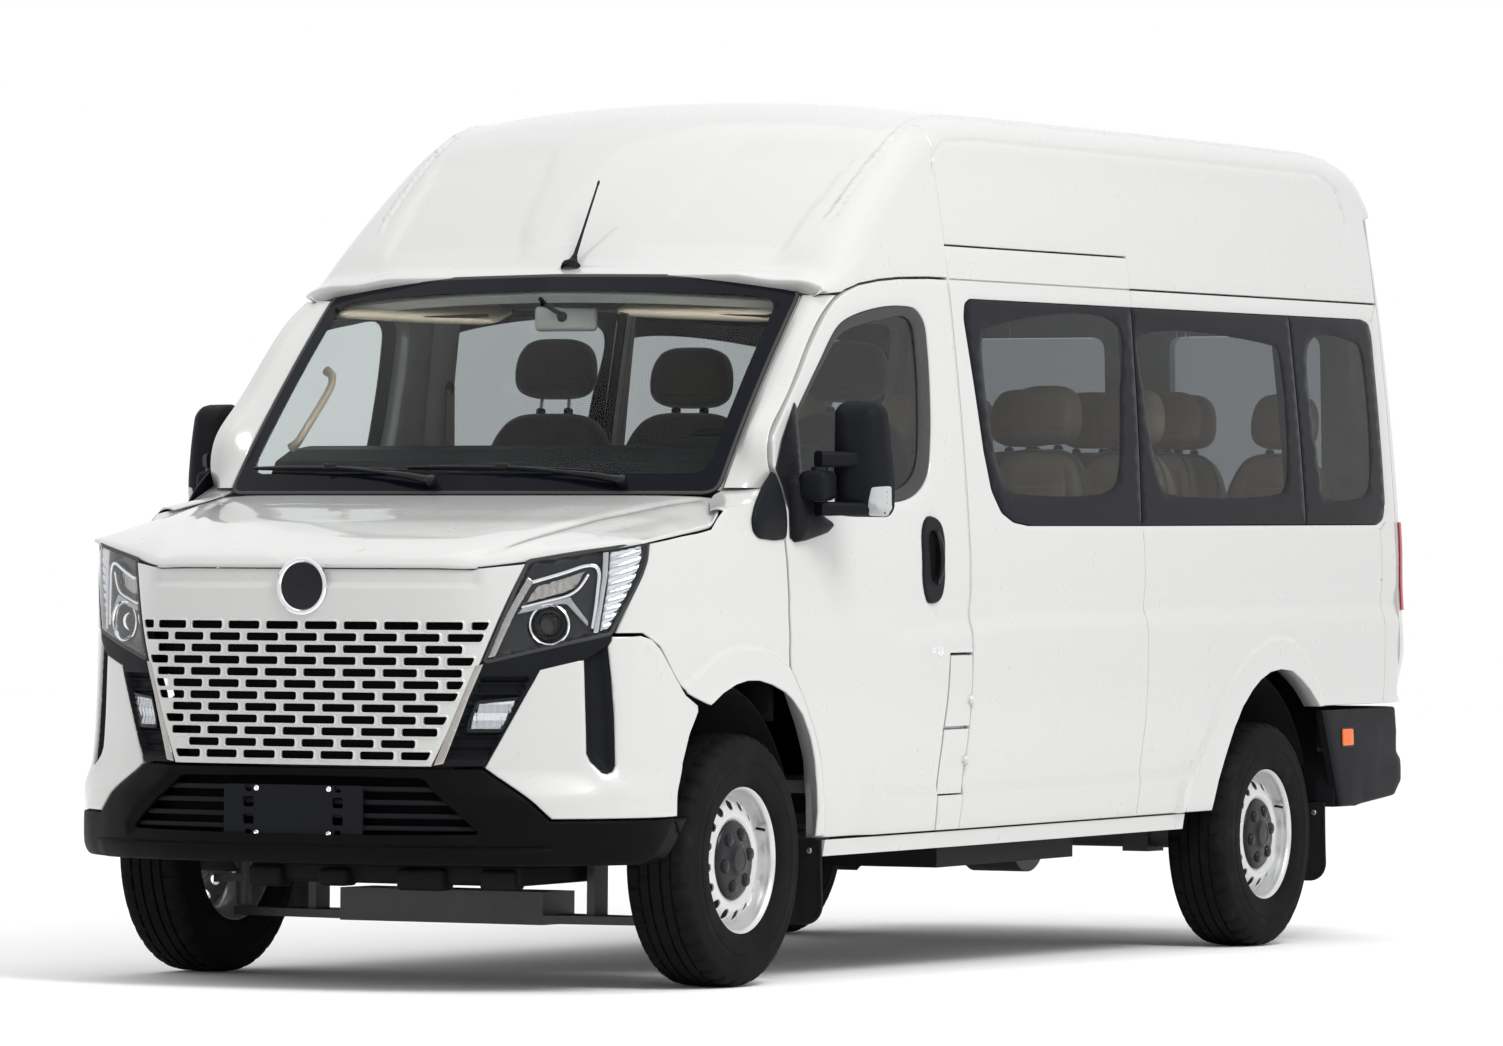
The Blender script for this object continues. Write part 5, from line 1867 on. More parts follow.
first_w = None
for i, (px, tx) in enumerate(((535.0, -157.0), (-49.0, -741.0))):
    b0, b1 = tx, tx + 590.0
    zb = lambda x: 1478.0 - 10.0 * (x - b0) / 590.0
    ts = np.linspace(0, 1, 40)
    path = np.array([on_screen(b0 + 590 * t, zb(b0 + 590 * t), 9.0 + 6.0 * (1 - (2 * t - 1)**2)) for t in ts])
    o = tube_obj("wiper_blade_%d" % i, W(path), 0.0052 * (0.55 + 0.45 * (1 - np.abs(2 * ts - 1)**4)), "plastic_smooth", "body", "rubber_black", 10)
    if first_w is None:
        first_w = o
        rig.replaces(o, "wipers")
    lipo = np.array([[on_screen(b0 + 590 * t, zb(b0 + 590 * t), q) + np.array([0, 0, w_]) for q, w_ in ((1.0, 0.9), (9.0, 1.6), (9.0, -1.6), (1.0, -0.9))] for t in ts])
    grid_mesh("wiper_rubber_%d" % i, W(lipo.reshape(-1, 3)).reshape(lipo.shape), ["rubber"], "body", "rubber_black", close_v=True, caps=True)
    xc = b0 + 315.0
    c = on_screen(xc, zb(xc), 19.0)
    s0 = on_screen(px, 1432.0, 20.0)
    mid_ = s0 + (c - s0) * 0.42 + np.array([0, -4.0, 5.0])
    arm = np.array([s0, s0 + (mid_ - s0) * 0.5 + np.array([0, -2, 2.5]), mid_, mid_ + (c - mid_) * 0.5 + np.array([0, -1.0, 2.0]), c])
    tt = np.linspace(0, 4, 30)
    arm = np.stack([np.interp(tt, range(5), arm[:, k]) for k in range(3)], 1)
    tube_obj("wiper_arm_%d" % i, W(arm), 0.001 * np.interp(tt, [0, 0.7, 1.8, 2.1, 4], [13.0, 10.5, 8.5, 5.6, 4.4]), "plastic_smooth", "body", "dark_plastic", 12)
    rounded_box("wiper_clip_%d" % i, (-20, -8, -7), (20, 8, 9), 3.5, "plastic_smooth", "body", "dark_plastic", to=lambda P, c=c: W(P + c))
    lathe("wiper_spindle_%d" % i, [(-18, 15), (-4, 17), (6, 17), (12, 15.5), (15, 11), (16, 1)], on_screen(px, 1432.0, 16.0), (0, -0.69, 0.72), "plastic_smooth", "body", "dark_plastic", 28)

# --- antenna ---------------------------------------------------------------------------------------
an0 = roof_xyz(np.array([0.0]), np.array([668.0]))[0]
ad = np.array([0, 0.55, 0.835])
lathe("antenna_foot", [(-10, 30), (2, 30), (8, 28), (14, 21), (22, 14), (32, 10), (40, 8)], an0, ad, "plastic", "body", "dark_plastic", 36)
ap_ = np.array([an0 + ad * t for t in np.linspace(34, 312, 60)])
o = tube_obj("antenna_mast", W(ap_), 0.001 * np.concatenate([np.linspace(6.5, 4.0, 20), np.linspace(3.9, 2.9, 36), [3.6, 4.0, 3.6, 2.0]]), "rubber", "body", "rubber_black", 12)
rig.replaces(o, "antenna")


# --- seats -----------------------------------------------------------------------------------------
def pillow(name, c, ax, half, mat, p=4.5, lines=(14, 14, 6), seam=None, seam_at=((), ()), shape=None, crown=12.0, slot="seat_fabric", fill=0.6, wrinkle=1.2, seed=0.0):
    """A stuffed cushion. ax: unit vectors of its width, its length and its thickness; the seams draw its face in."""
    ax = np.array(ax, float)
    half = np.array(half, float)
    gs = []
    for k in range(3):
        g = list(np.sin(np.linspace(-1, 1, lines[k]) * math.pi / 2) * 0.55 + np.linspace(-1, 1, lines[k]) * 0.45)
        if k < 2:
            for q in seam_at[k]:
                for o_ in ((-8, -3, 0, 3, 8) if lines[0] < 10 else (-9, -4.5, -1.8, 0, 1.8, 4.5, 9)):
                    g.append(q + o_ / half[k])
        g = sorted(x for x in g if -1 <= x <= 1)
        keep = [g[0]]
        for x in g[1:]:
            if x - keep[-1] > 1.2 / half[k]:
                keep.append(x)
        keep[-1] = 1.0
        gs.append(np.array(keep))
    idx, V_, F = {}, [], []

    def vid(v):
        key = tuple(np.round(v, 6))
        if key not in idx:
            idx[key] = len(V_)
            V_.append(v)
        return idx[key]
    for k in range(3):
        u, w = (k + 1) % 3, (k + 2) % 3
        for sg_ in (-1.0, 1.0):
            ids = np.zeros((len(gs[u]), len(gs[w])), int)
            for i_, a in enumerate(gs[u]):
                for j_, b in enumerate(gs[w]):
                    v = [0.0, 0.0, 0.0]
                    v[k], v[u], v[w] = sg_, a, b
                    ids[i_, j_] = vid(v)
            for i_ in range(len(gs[u]) - 1):
                for j_ in range(len(gs[w]) - 1):
                    f = (ids[i_, j_], ids[i_ + 1, j_], ids[i_ + 1, j_ + 1], ids[i_, j_ + 1])
                    F.append(f if sg_ > 0 else f[::-1])
    v = np.array(V_)
    q = pillow_map(v, half, p, shape, crown)
    if seam is not None:
        top = smooth(v[:, 2], 0.3, 0.9)
        q[:, 2] -= seam(q[:, 0], q[:, 1]) * top
    q[:, 2] += wrinkle * np.sin(q[:, 0] / 31.0 + seed) * np.sin(q[:, 1] / 43.0 + 1.3 * seed) * (v[:, 2] > 0.2)
    q[:, 0] += 0.7 * wrinkle * np.sin(q[:, 1] / 37.0 + 2.1 + seed)
    P = np.asarray(c, float) + q @ ax
    det = np.linalg.det(ax)
    if det < 0:
        F = [f[::-1] for f in F]
    o = make_obj(name, W(P), F, [mat], "body", slot, None, 60.0)
    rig.padded(o, fill=fill)
    return o


def pillow_map(v, half, p, shape, crown):
    n = (np.abs(v)**p).sum(axis=1)**(1.0 / p)
    q = v / n[:, None] * half
    q[:, 2] += crown * np.sign(v[:, 2]) * np.clip(1 - (q[:, 0] / half[0])**2, 0, 1) * np.clip(1 - (q[:, 1] / half[1])**2, 0, 1) * smooth(np.abs(v[:, 2]), 0.2, 1.0)
    if shape is not None:
        q = shape(q)
    return q


def piping(name, c, ax, half, p, shape, crown, level, r, mat, slot):
    """A welt round a cushion, along its edge at a level of its thickness."""
    e_ = []
    for a, b in [(x, -1.0) for x in np.linspace(-1, 1, 26)[:-1]] + [(1.0, x) for x in np.linspace(-1, 1, 26)[:-1]] + [(x, 1.0) for x in np.linspace(1, -1, 26)[:-1]] + [(-1.0, x) for x in np.linspace(1, -1, 26)[:-1]]:
        e_.append((a, b, level))
    q = pillow_map(np.array(e_), np.array(half, float) + 0.8, p, shape, crown)
    tube_obj(name, W(np.asarray(c, float) + q @ np.array(ax, float)), r / 1000.0, mat, "body", slot, 8, closed=True)


def gauss(d, w):
    return np.exp(-(d / w)**2)


FIRST_SEAT = {}


def one_seat(tag, x0, x1, y, z, back, tilt, depth, mat, slot, node, leather=False, head_up=0.0):
    xm, hw = (x0 + x1) / 2.0, (x1 - x0) / 2.0
    ln = (9, 9, 4) if leather else (18, 18, 7)
    k_, s_ = math.cos(math.radians(tilt)), math.sin(math.radians(tilt))
    sd = (x0 * 0.013 + y * 0.0071) % 6.28

    def seam_base(a, b):
        return 5.0 * gauss(np.abs(a) - 0.60 * hw, 4.5) + 4.5 * gauss(b + 0.46 * depth / 2, 4.5) * (np.abs(a) < 0.62 * hw) + (2.5 * gauss(b - 0.2 * depth / 2, 4.5) * (np.abs(a) < 0.6 * hw) if leather else 0)

    def raise_sides(q, amount=12.0, w=hw):
        q = q.copy()
        q[:, 2] += amount * smooth(np.abs(q[:, 0]), 0.58 * w, 0.80 * w) * (q[:, 2] > 0)
        return q
    sl = np.array([0, depth, -24.0])
    sl /= np.linalg.norm(sl)
    axb = [(1, 0, 0), tuple(sl), tuple(np.cross((1, 0, 0), sl))]
    cb = (xm, y + depth / 2.0 + 4, z + 48)
    hb = (hw - 3, depth / 2.0 + 10, 60)
    o = pillow("seat_base_" + tag, cb, axb, hb, mat, 5.0, ln, seam_base, ((-0.60 * hw / hb[0], 0.60 * hw / hb[0]), (-0.46 * depth / 2 / hb[1], 0.2 * depth / 2 / hb[1])), raise_sides, 10.0, slot, 0.7, 1.2, sd)
    if node not in FIRST_SEAT:
        FIRST_SEAT[node] = o
        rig.replaces(o, node)
    up = np.array([0, s_, k_])
    fw = np.array([0, -k_, s_])
    y0, z0 = y + depth + 12.0, z + 30.0

    def back_shape(q):
        q = raise_sides(q, 10.0)
        q[:, 0] *= 1.0 - 0.16 * smooth(q[:, 1], 0.25 * back / 2, back / 2)**2
        q[:, 2] += 12.0 * gauss(q[:, 1] + 0.35 * back / 2, 90.0) * (q[:, 2] > 0)
        return q

    def seam_back(a, b):
        lim = 0.60 * hw * (1.0 - 0.10 * smooth(b, 0.25 * back / 2, back / 2))
        return 5.5 * gauss(np.abs(a) - lim, 4.5) * (b < 0.60 * back / 2) + 5.0 * gauss(b - 0.60 * back / 2, 4.5) * (np.abs(a) < lim + 8) + 3.5 * gauss(b + 0.12 * back / 2, 4.5) * (np.abs(a) < lim)
    cbk = np.array([xm, y0, z0]) + up * (back / 2.0 - 8) + np.array([0, k_, -s_]) * 50.0
    hbk = (hw - 8, back / 2.0, 54)
    pillow("seat_back_" + tag, cbk, [(1, 0, 0), tuple(up), tuple(fw)], hbk, mat, 4.6, ln, seam_back, ((-0.60 * hw / hbk[0], 0.60 * hw / hbk[0]), (0.60, -0.12)), back_shape, 10.0, slot, 0.65, 1.2, sd + 1.0)
    if leather:
        piping("seat_welt_" + tag, cbk, [(1, 0, 0), tuple(up), tuple(fw)], hbk, 4.6, back_shape, 10.0, 0.55, 4.2, "trim_grey", slot)
    hy, hz = y0 + s_ * (back + 20) + 8, z0 + k_ * (back + 20) + head_up
    hc = np.array([xm, hy, hz]) + up * 84.0 + np.array([0, k_, -s_]) * 36.0
    wd = 116.0 if leather else 134.0

    def head_shape(q):
        q = q.copy()
        q[:, 0] *= 1.0 - 0.13 * smooth(q[:, 1], -40, 96)**1.5
        q[:, 2] += 8.0 * gauss(q[:, 1] - 20, 60.0) * (q[:, 2] > 0)
        return q
    pillow("headrest_" + tag, hc, [(1, 0, 0), tuple(up), tuple(fw)], (wd, 92, 46), mat, 3.6, (12, 12, 6) if leather else (16, 14, 7), lambda a, b: 2.6 * gauss(b + 58.0, 4.0) + 2.0 * gauss(np.abs(a) - 0.78 * wd, 4.0), ((-0.78, 0.78), (-0.63,)), head_shape,
           8.0, slot, 0.75, 0.6, sd + 2.0)
    for sg_ in (-1, 1):
        b0_ = np.array([xm + sg_ * 48.0, y0, z0]) + up * (back - 40) + np.array([0, k_, -s_]) * 46.0
        tube_obj("headrest_post_%s_%d" % (tag, sg_), W([b0_, b0_ + up * 60.0, b0_ + up * (110.0 + head_up)]), 0.006, "chrome", "body", "steel", 10)
        lathe("post_sleeve_%s_%d" % (tag, sg_), [(-6, 14), (2, 15), (8, 13), (10, 8)], b0_ + up * 40.0, up, "plastic", "body", "dark_plastic", 20)


one_seat("driver", 185, 675, 930, 905, 750, 10, 480, "cloth", "seat_fabric", "front_seats", head_up=12)
one_seat("bench_in", -330, 140, 930, 905, 750, 10, 480, "cloth", "seat_fabric", "front_seats", head_up=-4)
one_seat("bench_out", -800, -330, 930, 905, 750, 10, 480, "cloth", "seat_fabric", "front_seats", head_up=26)
rounded_box("seat_plinth_driver", (230, 990, 588), (630, 1350, 902), 14, "plastic", "body", "dark_plastic")
rounded_box("seat_plinth_bench", (-650, 990, 588), (70, 1350, 902), 14, "plastic", "body", "dark_plastic")
for ri, ry in enumerate((2030, 2650, 3260, 3870)):
    xl = 800 if ry < 3000 or ry > 3800 else 600
    md = (60 + xl) / 2.0
    one_seat("r%da" % ri, 60, md, ry, 950, 600, 12, 400, "leather", "seat_leather", "passenger_seats", True)
    one_seat("r%db" % ri, md, xl, ry, 950, 600, 12, 400, "leather", "seat_leather", "passenger_seats", True)
    frames = [(150, 500)]
    if ry > 2100:
        one_seat("r%dc" % ri, -800 if xl == 800 else -600, -340, ry, 950, 600, 12, 400, "leather", "seat_leather", "passenger_seats", True)
        frames.append((-540, -400))
    for fi, (fa, fb) in enumerate(frames):
        for fx in (fa, fb):
            loop = [(fx, ry + 60, 590), (fx, ry + 60, 900), (fx, ry + 90, 930), (fx, ry + 300, 930), (fx, ry + 340, 900), (fx, ry + 340, 590)]
            lp = np.array(loop, float)
            tq = np.linspace(0, 5, 41)
            tube_obj("seat_leg_%d_%d_%d" % (ri, fi, int(fx)), W(np.stack([np.interp(tq, range(6), lp[:, k]) for k in range(3)], 1)), 0.014, "steel", "body", "steel", 12)
        tube_obj("seat_rail_%d_%d" % (ri, fi), W([(fa - 60, ry + 80, 925), (fb + 60, ry + 80, 925)]), 0.016, "plastic", "body", "dark_plastic", 12)

# --- cab trim ----------------------------------------------------------------------------------------
DOOR_EDGE = np.array([(1430, 190), (1485, 158), (1570, 166), (1655, 256), (1749, 359), (1826, 434), (1893, 509), (1935, 563), (1968, 616), (2001, 690)], float)
for sgn, tag in ((1, "left"), (-1, "right")):
    rows = []
    for z in np.linspace(1418, 1992, 30):
        xw = 806 - (z - 1412) * 24 / 596.0
        yw = float(screen_y(xw, z))
        yd = float(np.interp(z, DOOR_EDGE[:, 0], DOOR_EDGE[:, 1]))
        xo = float(side_x(yd, z))
        rows.append([(sgn * (xw - 24), yw + 8, z), (sgn * (xw - 30), yw + 20, z), (sgn * (xw - 22), yw + 44, z), (sgn * (xw + 2), max(yw, yd) + 66, z), (sgn * (xo - 64), max(yw, yd) + 84, z), (sgn * (xo - 52), max(yw, yd) + 60, z),
                     (sgn * (xw + 10), max(yw, yd) + 36, z), (sgn * (xw - 6), yw + 16, z)])
    R_ = np.array(rows, float)
    grid_mesh("pillar_trim_" + tag, W(R_.reshape(-1, 3)).reshape(R_.shape), ["trim_grey"], "body", "dark_plastic", close_v=True, flip=(sgn < 0), sharp=60.0, caps=True)
    hp = np.array([(sgn * 806, 420, 1545), (sgn * 780, 416, 1562), (sgn * 768, 440, 1600), (sgn * 764, 520, 1672), (sgn * 768, 592, 1732), (sgn * 780, 616, 1762), (sgn * 806, 628, 1775)], float)
    tq = np.linspace(0, 6, 49)
    hq = np.stack([np.interp(tq, range(7), hp[:, k]) for k in range(3)], 1)
    for _ in range(4):
        hq[1:-1] = (hq[:-2] + 2 * hq[1:-1] + hq[2:]) / 4
    tube_obj("grab_handle_" + tag, W(hq), 0.001 * np.interp(tq, [0, 1, 2, 4, 5, 6], [15, 12, 11, 11, 12, 15]), "trim_beige", "body", "dark_plastic", 14)
# header trim across the top of the screen, with the sun visors folded up and a lamp console between them
rows = []
for x in np.linspace(-770, 770, 50):
    yy = float(screen_y(x, 1996))
    rows.append([(x, yy + 14, 1990 - 30 * (x / 770.0)**2), (x, yy + 26, 1968 - 30 * (x / 770.0)**2), (x, yy + 120, 1982 - 26 * (x / 770.0)**2), (x, yy + 240, 2006 - 24 * (x / 770.0)**2), (x, yy + 240, 2016 - 24 * (x / 770.0)**2), (x, yy + 30, 2004 - 30 * (x / 770.0)**2)])
R_ = np.array(rows, float)
grid_mesh("header_trim", W(R_.reshape(-1, 3)).reshape(R_.shape), ["trim_grey"], "body", "dark_plastic", close_v=True, sharp=60.0, caps=True)
for sgn, tag in ((1, "left"), (-1, "right")):
    ax_ = np.array([(sgn, 0.0, -0.045 * sgn), (0, 0.96, 0.28), (0, 0, 0)], float)
    ax_[0] /= np.linalg.norm(ax_[0])
    ax_[1] /= np.linalg.norm(ax_[1])
    ax_[2] = -np.cross(ax_[0], ax_[1]) * (1 if np.cross(ax_[0], ax_[1])[2] > 0 else -1)
    pillow("sun_visor_" + tag, (sgn * 470, 628, 1944), ax_, (272, 78, 11), "trim_beige", 6.0, (14, 8, 4), None, ((), ()), None, 2.0, "dark_plastic", 0.5, 0.3, 0.4)
    tube_obj("visor_rod_" + tag, W([(sgn * 735, 562, 1962), (sgn * 742, 560, 1930), (sgn * 700, 560, 1922), (sgn * 220, 562, 1934)]), 0.005, "plastic", "body", "dark_plastic", 10)
rounded_box("roof_console", (-190, 560, 1952), (190, 800, 1992), 14, "plastic", "body", "dark_plastic")
rounded_box("roof_lamp", (-70, 620, 1946), (70, 700, 1956), 4, "lamp_white", "body", "lamp_clear")
# inner mirror on its stalk
mc = np.array([30.0, 585.0, 1922.0])
tube_obj("mirror_stalk", W([(0, 478, 1980), (4, 505, 1962), (14, 545, 1944), (26, 578, 1930)]), 0.007, "plastic", "body", "dark_plastic", 12)
ca, sa = math.cos(0.24), math.sin(0.24)
MR = np.array([(ca, sa, 0), (-sa, ca, 0), (0, 0, 1)])
rounded_box("inner_mirror_case", (-93, -17, -37), (93, 15, 37), 13, "trim_grey", "body", "dark_plastic", to=lambda P: W(P @ MR + mc), seg=5)
rounded_box("inner_mirror_glass", (-86, 12, -31), (86, 16.5, 31), 1.5, "mirror", "body", "clear_glass", to=lambda P: W(P @ MR + mc), seg=2)
lathe("mirror_ball", [(-14, 13), (-6, 17), (4, 17), (10, 13), (14, 4)], (24, 572, 1928), (0, -1, 0.3), "plastic", "body", "dark_plastic", 24)
# centre pillars, seat belts
for sgn, tag in ((1, "left"), (-1, "right")):
    rows = []
    for z in np.linspace(1000, 2010, 24):
        xi = float(side_x(1410, z)) - 62
        rows.append([(sgn * (xi + 4), 1352, z), (sgn * (xi - 20), 1362, z), (sgn * (xi - 34), 1396, z), (sgn * (xi - 34), 1440, z), (sgn * (xi - 18), 1476, z), (sgn * (xi + 4), 1484, z)])
    R_ = np.array(rows, float)
    grid_mesh("centre_pillar_" + tag, W(R_.reshape(-1, 3)).reshape(R_.shape), ["trim_grey"], "body", "dark_plastic", close_v=True, flip=(sgn < 0), sharp=60.0, caps=True)
    xi = float(side_x(1410, 1750)) - 98
    lathe("belt_anchor_" + tag, [(-6, 24), (2, 25), (9, 22), (14, 12), (15, 1)], (sgn * (xi + 6), 1418, 1735), (-sgn, 0, 0), "plastic", "body", "dark_plastic", 28)
    bl = np.array([(sgn * (xi - 6), 1412, 1730), (sgn * (xi - 9), 1405, 1500), (sgn * (xi - 12), 1395, 1250), (sgn * (xi - 14), 1385, 1010)], float)
    tq = np.linspace(0, 3, 25)
    bq = np.stack([np.interp(tq, range(4), bl[:, k]) for k in range(3)], 1)
    bb = np.array([[b_ + np.array([0, w_, 0]) + np.array([sgn * d_, 0, 0]) for w_, d_ in ((-23, 0), (23, 0), (23, 1.6), (-23, 1.6))] for b_ in bq])
    grid_mesh("belt_" + tag, W(bb.reshape(-1, 3)).reshape(bb.shape), ["trim_grey"], "body", "seat_fabric", close_v=True, caps=True)
# dashboard: instrument hood lip, vents and a shelf seam; steering wheel pad
for i, vx in enumerate((-720, -140, 60, 745)):
    rounded_box("vent_frame_%d" % i, (vx - 58, 700, 1390), (vx + 58, 722, 1462), 8, "plastic_smooth", "body", "dark_plastic")
    for j in range(5):
        rounded_box("vent_blade_%d_%d" % (i, j), (vx - 50, 716, 1399 + 12 * j), (vx + 50, 727, 1402.5 + 12 * j), 1.5, "plastic_smooth", "body", "dark_plastic", seg=1)
rounded_box("radio_panel", (-110, 704, 1240), (110, 720, 1370), 8, "plastic_smooth", "body", "dark_plastic")
for j, (kx, kz) in enumerate(((-70, 1270), (0, 1270), (70, 1270))):
    lathe("heater_knob_%d" % j, [(0, 24), (10, 23), (14, 20), (15, 1)], (kx, 720, kz), (0, 1, 0), "plastic_smooth", "body", "dark_plastic", 32)
tube_obj("gear_lever", W([(-20, 760, 1190), (-16, 800, 1270), (-14, 815, 1330)]), 0.008, "satin_metal", "body", "steel", 10)
lathe("gear_knob", [(-20, 10), (-8, 20), (8, 25), (24, 22), (34, 12), (37, 1)], (-14, 815, 1330), (0.02, 0.2, 1), "plastic", "body", "dark_plastic", 28)
rounded_box("lever_console", (-110, 690, 1010), (70, 830, 1196), 22, "plastic", "body", "dark_plastic")
SC = np.array([430.0, 860.0, 1440.0])
ctl = math.radians(38.0)
SA = np.array([0, math.cos(ctl), math.sin(ctl)])
SU = np.array([0, -math.sin(ctl), math.cos(ctl)])


def wheel_to(P):
    return W(SC + P[:, [0]] * np.array([1.0, 0, 0]) + P[:, [1]] * SU + P[:, [2]] * SA)


rounded_box("horn_pad", (-84, -72, -30), (84, 58, 20), 26, "plastic", "steering_wheel", "dark_plastic", to=wheel_to, seg=6)
for j, a in enumerate((0.0, math.pi, -math.pi / 2)):
    dv = np.array([math.cos(a), math.sin(a), 0])
    sp = np.array([dv * 60 + np.array([0, 0, -4]), dv * 110 + np.array([0, 0, -8]), dv * 160 + np.array([0, 0, -5]), dv * 186])
    tq = np.linspace(0, 3, 16)
    spq = np.stack([np.interp(tq, range(4), sp[:, k]) for k in range(3)], 1)
    tube_obj("wheel_spoke_%d" % j, wheel_to(spq), 0.001 * np.interp(tq, [0, 1, 3], [26, 17, 13.5]), "plastic_smooth", "steering_wheel", "dark_plastic", 14)
aa = np.linspace(0, 2 * math.pi, 96, endpoint=False)
wr = np.stack([190 * np.cos(aa), 190 * np.sin(aa), 0 * aa], 1)
o = tube_obj("wheel_rim_grip", wheel_to(wr), 0.001 * (15.0 + 1.2 * np.cos(4 * aa)), "plastic", "steering_wheel", "dark_plastic", 16, closed=True)
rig.replaces(o, "steering_wheel")
for sgn in (-1, 1):
    tube_obj("stalk_%d" % sgn, W([SC + np.array([sgn * 30, -66, -52]), SC + np.array([sgn * 110, -60, -34]), SC + np.array([sgn * 150, -56, -24])]), 0.007, "plastic", "body", "dark_plastic", 10)

# --- rear end: handle, hinges, blank plate recess, lamps ---------------------------------------------
def rear_y(x, z):
    return float(rear_tab(z)) - 9.0 * (x / 778.0)**2


_rd = NODES["rear_door_left"].data
_rp = np.array([v.co[:] for v in _rd.vertices])
_rz = np.linspace(_rp[:, 2].min(), _rp[:, 2].max(), 40)
_ry = []
for z_ in _rz:
    m_ = np.abs(_rp[:, 2] - z_) < 0.06
    _ry.append(_rp[m_, 1].max() if m_.any() else np.nan)
_ry = np.array(_ry)
_ok = ~np.isnan(_ry)


def rear_tab(z):
    """How far back the doors' outer face stands at a body height z."""
    zz = (z / 1000.0)
    return float(np.interp(zz, _rz[_ok], _ry[_ok])) * 1000.0 + 1909.0


def on_rear(x, z, off):
    return LV([(x, rear_tab(z) + off - 9.0 * (x / 778.0)**2, z)])[0]


def rear_box(name, x0, x1, z0, z1, depth, r, mat, body, slot, seg=3, sink=8.0):
    def place(P):
        return np.array([on_rear(p[0], p[2], p[1]) for p in P])
    return rounded_box(name, (x0, -sink, z0), (x1, depth, z1), r, mat, body, slot, to=place, seg=seg)


rear_box("rear_handle_plate", 24, 150, 1090, 1150, 5.0, 4, "plastic", "rear_door_left", "dark_plastic")
rear_box("rear_handle_grip", 34, 140, 1104, 1136, 24.0, 9, "plastic_smooth", "rear_door_left", "dark_plastic", 4)
rear_box("plate_recess_frame", -420, -40, 880, 1006, 3.0, 3, "plastic", "rear_door_right", "dark_plastic")
rear_box("plate_recess_face", -410, -50, 890, 996, 4.2, 2, "plastic_smooth", "rear_door_right", "dark_plastic")
rear_box("plate_light_bar", -330, -130, 1012, 1044, 20.0, 7, "plastic", "rear_door_right", "dark_plastic")
for sgn, tag in ((1, "left"), (-1, "right")):
    for j, hz_ in enumerate((930, 1420, 2080)):
        rear_box("rear_hinge_%s_%d" % (tag, j), min(sgn * 690, sgn * 768), max(sgn * 690, sgn * 768), hz_ - 24, hz_ + 24, 8.0, 4, "paint", "rear_door_" + tag, "white_paint")
        tube_obj("rear_hinge_pin_%s_%d" % (tag, j), np.array([on_rear(sgn * 772, hz_ - 36, 7.0), on_rear(sgn * 772, hz_, 7.0), on_rear(sgn * 772, hz_ + 36, 7.0)]), 0.009, "paint", "rear_door_" + tag, "white_paint", 14)

# --- cowl corners and screen pillars -----------------------------------------------------------
def solid_grid(name, P, mats, body, slot):
    """A closed strip from rings of body-frame points in mm, turned so that it faces outwards."""
    P = np.asarray(P, float)
    c = P.reshape(-1, 3).mean(0)
    Q = np.roll(P, -1, axis=1)
    n = np.cross(Q[:-1] - P[:-1], P[1:] - P[:-1])
    m = (P[:-1] + Q[:-1] + P[1:] + Q[1:]) / 4 - P[:-1].mean(1, keepdims=True)
    flip = float((n * m).sum()) > 0
    return grid_mesh(name, W(P.reshape(-1, 3)).reshape(P.shape), mats, body, slot, close_v=True, caps=True, flip=not flip, sharp=40.0)


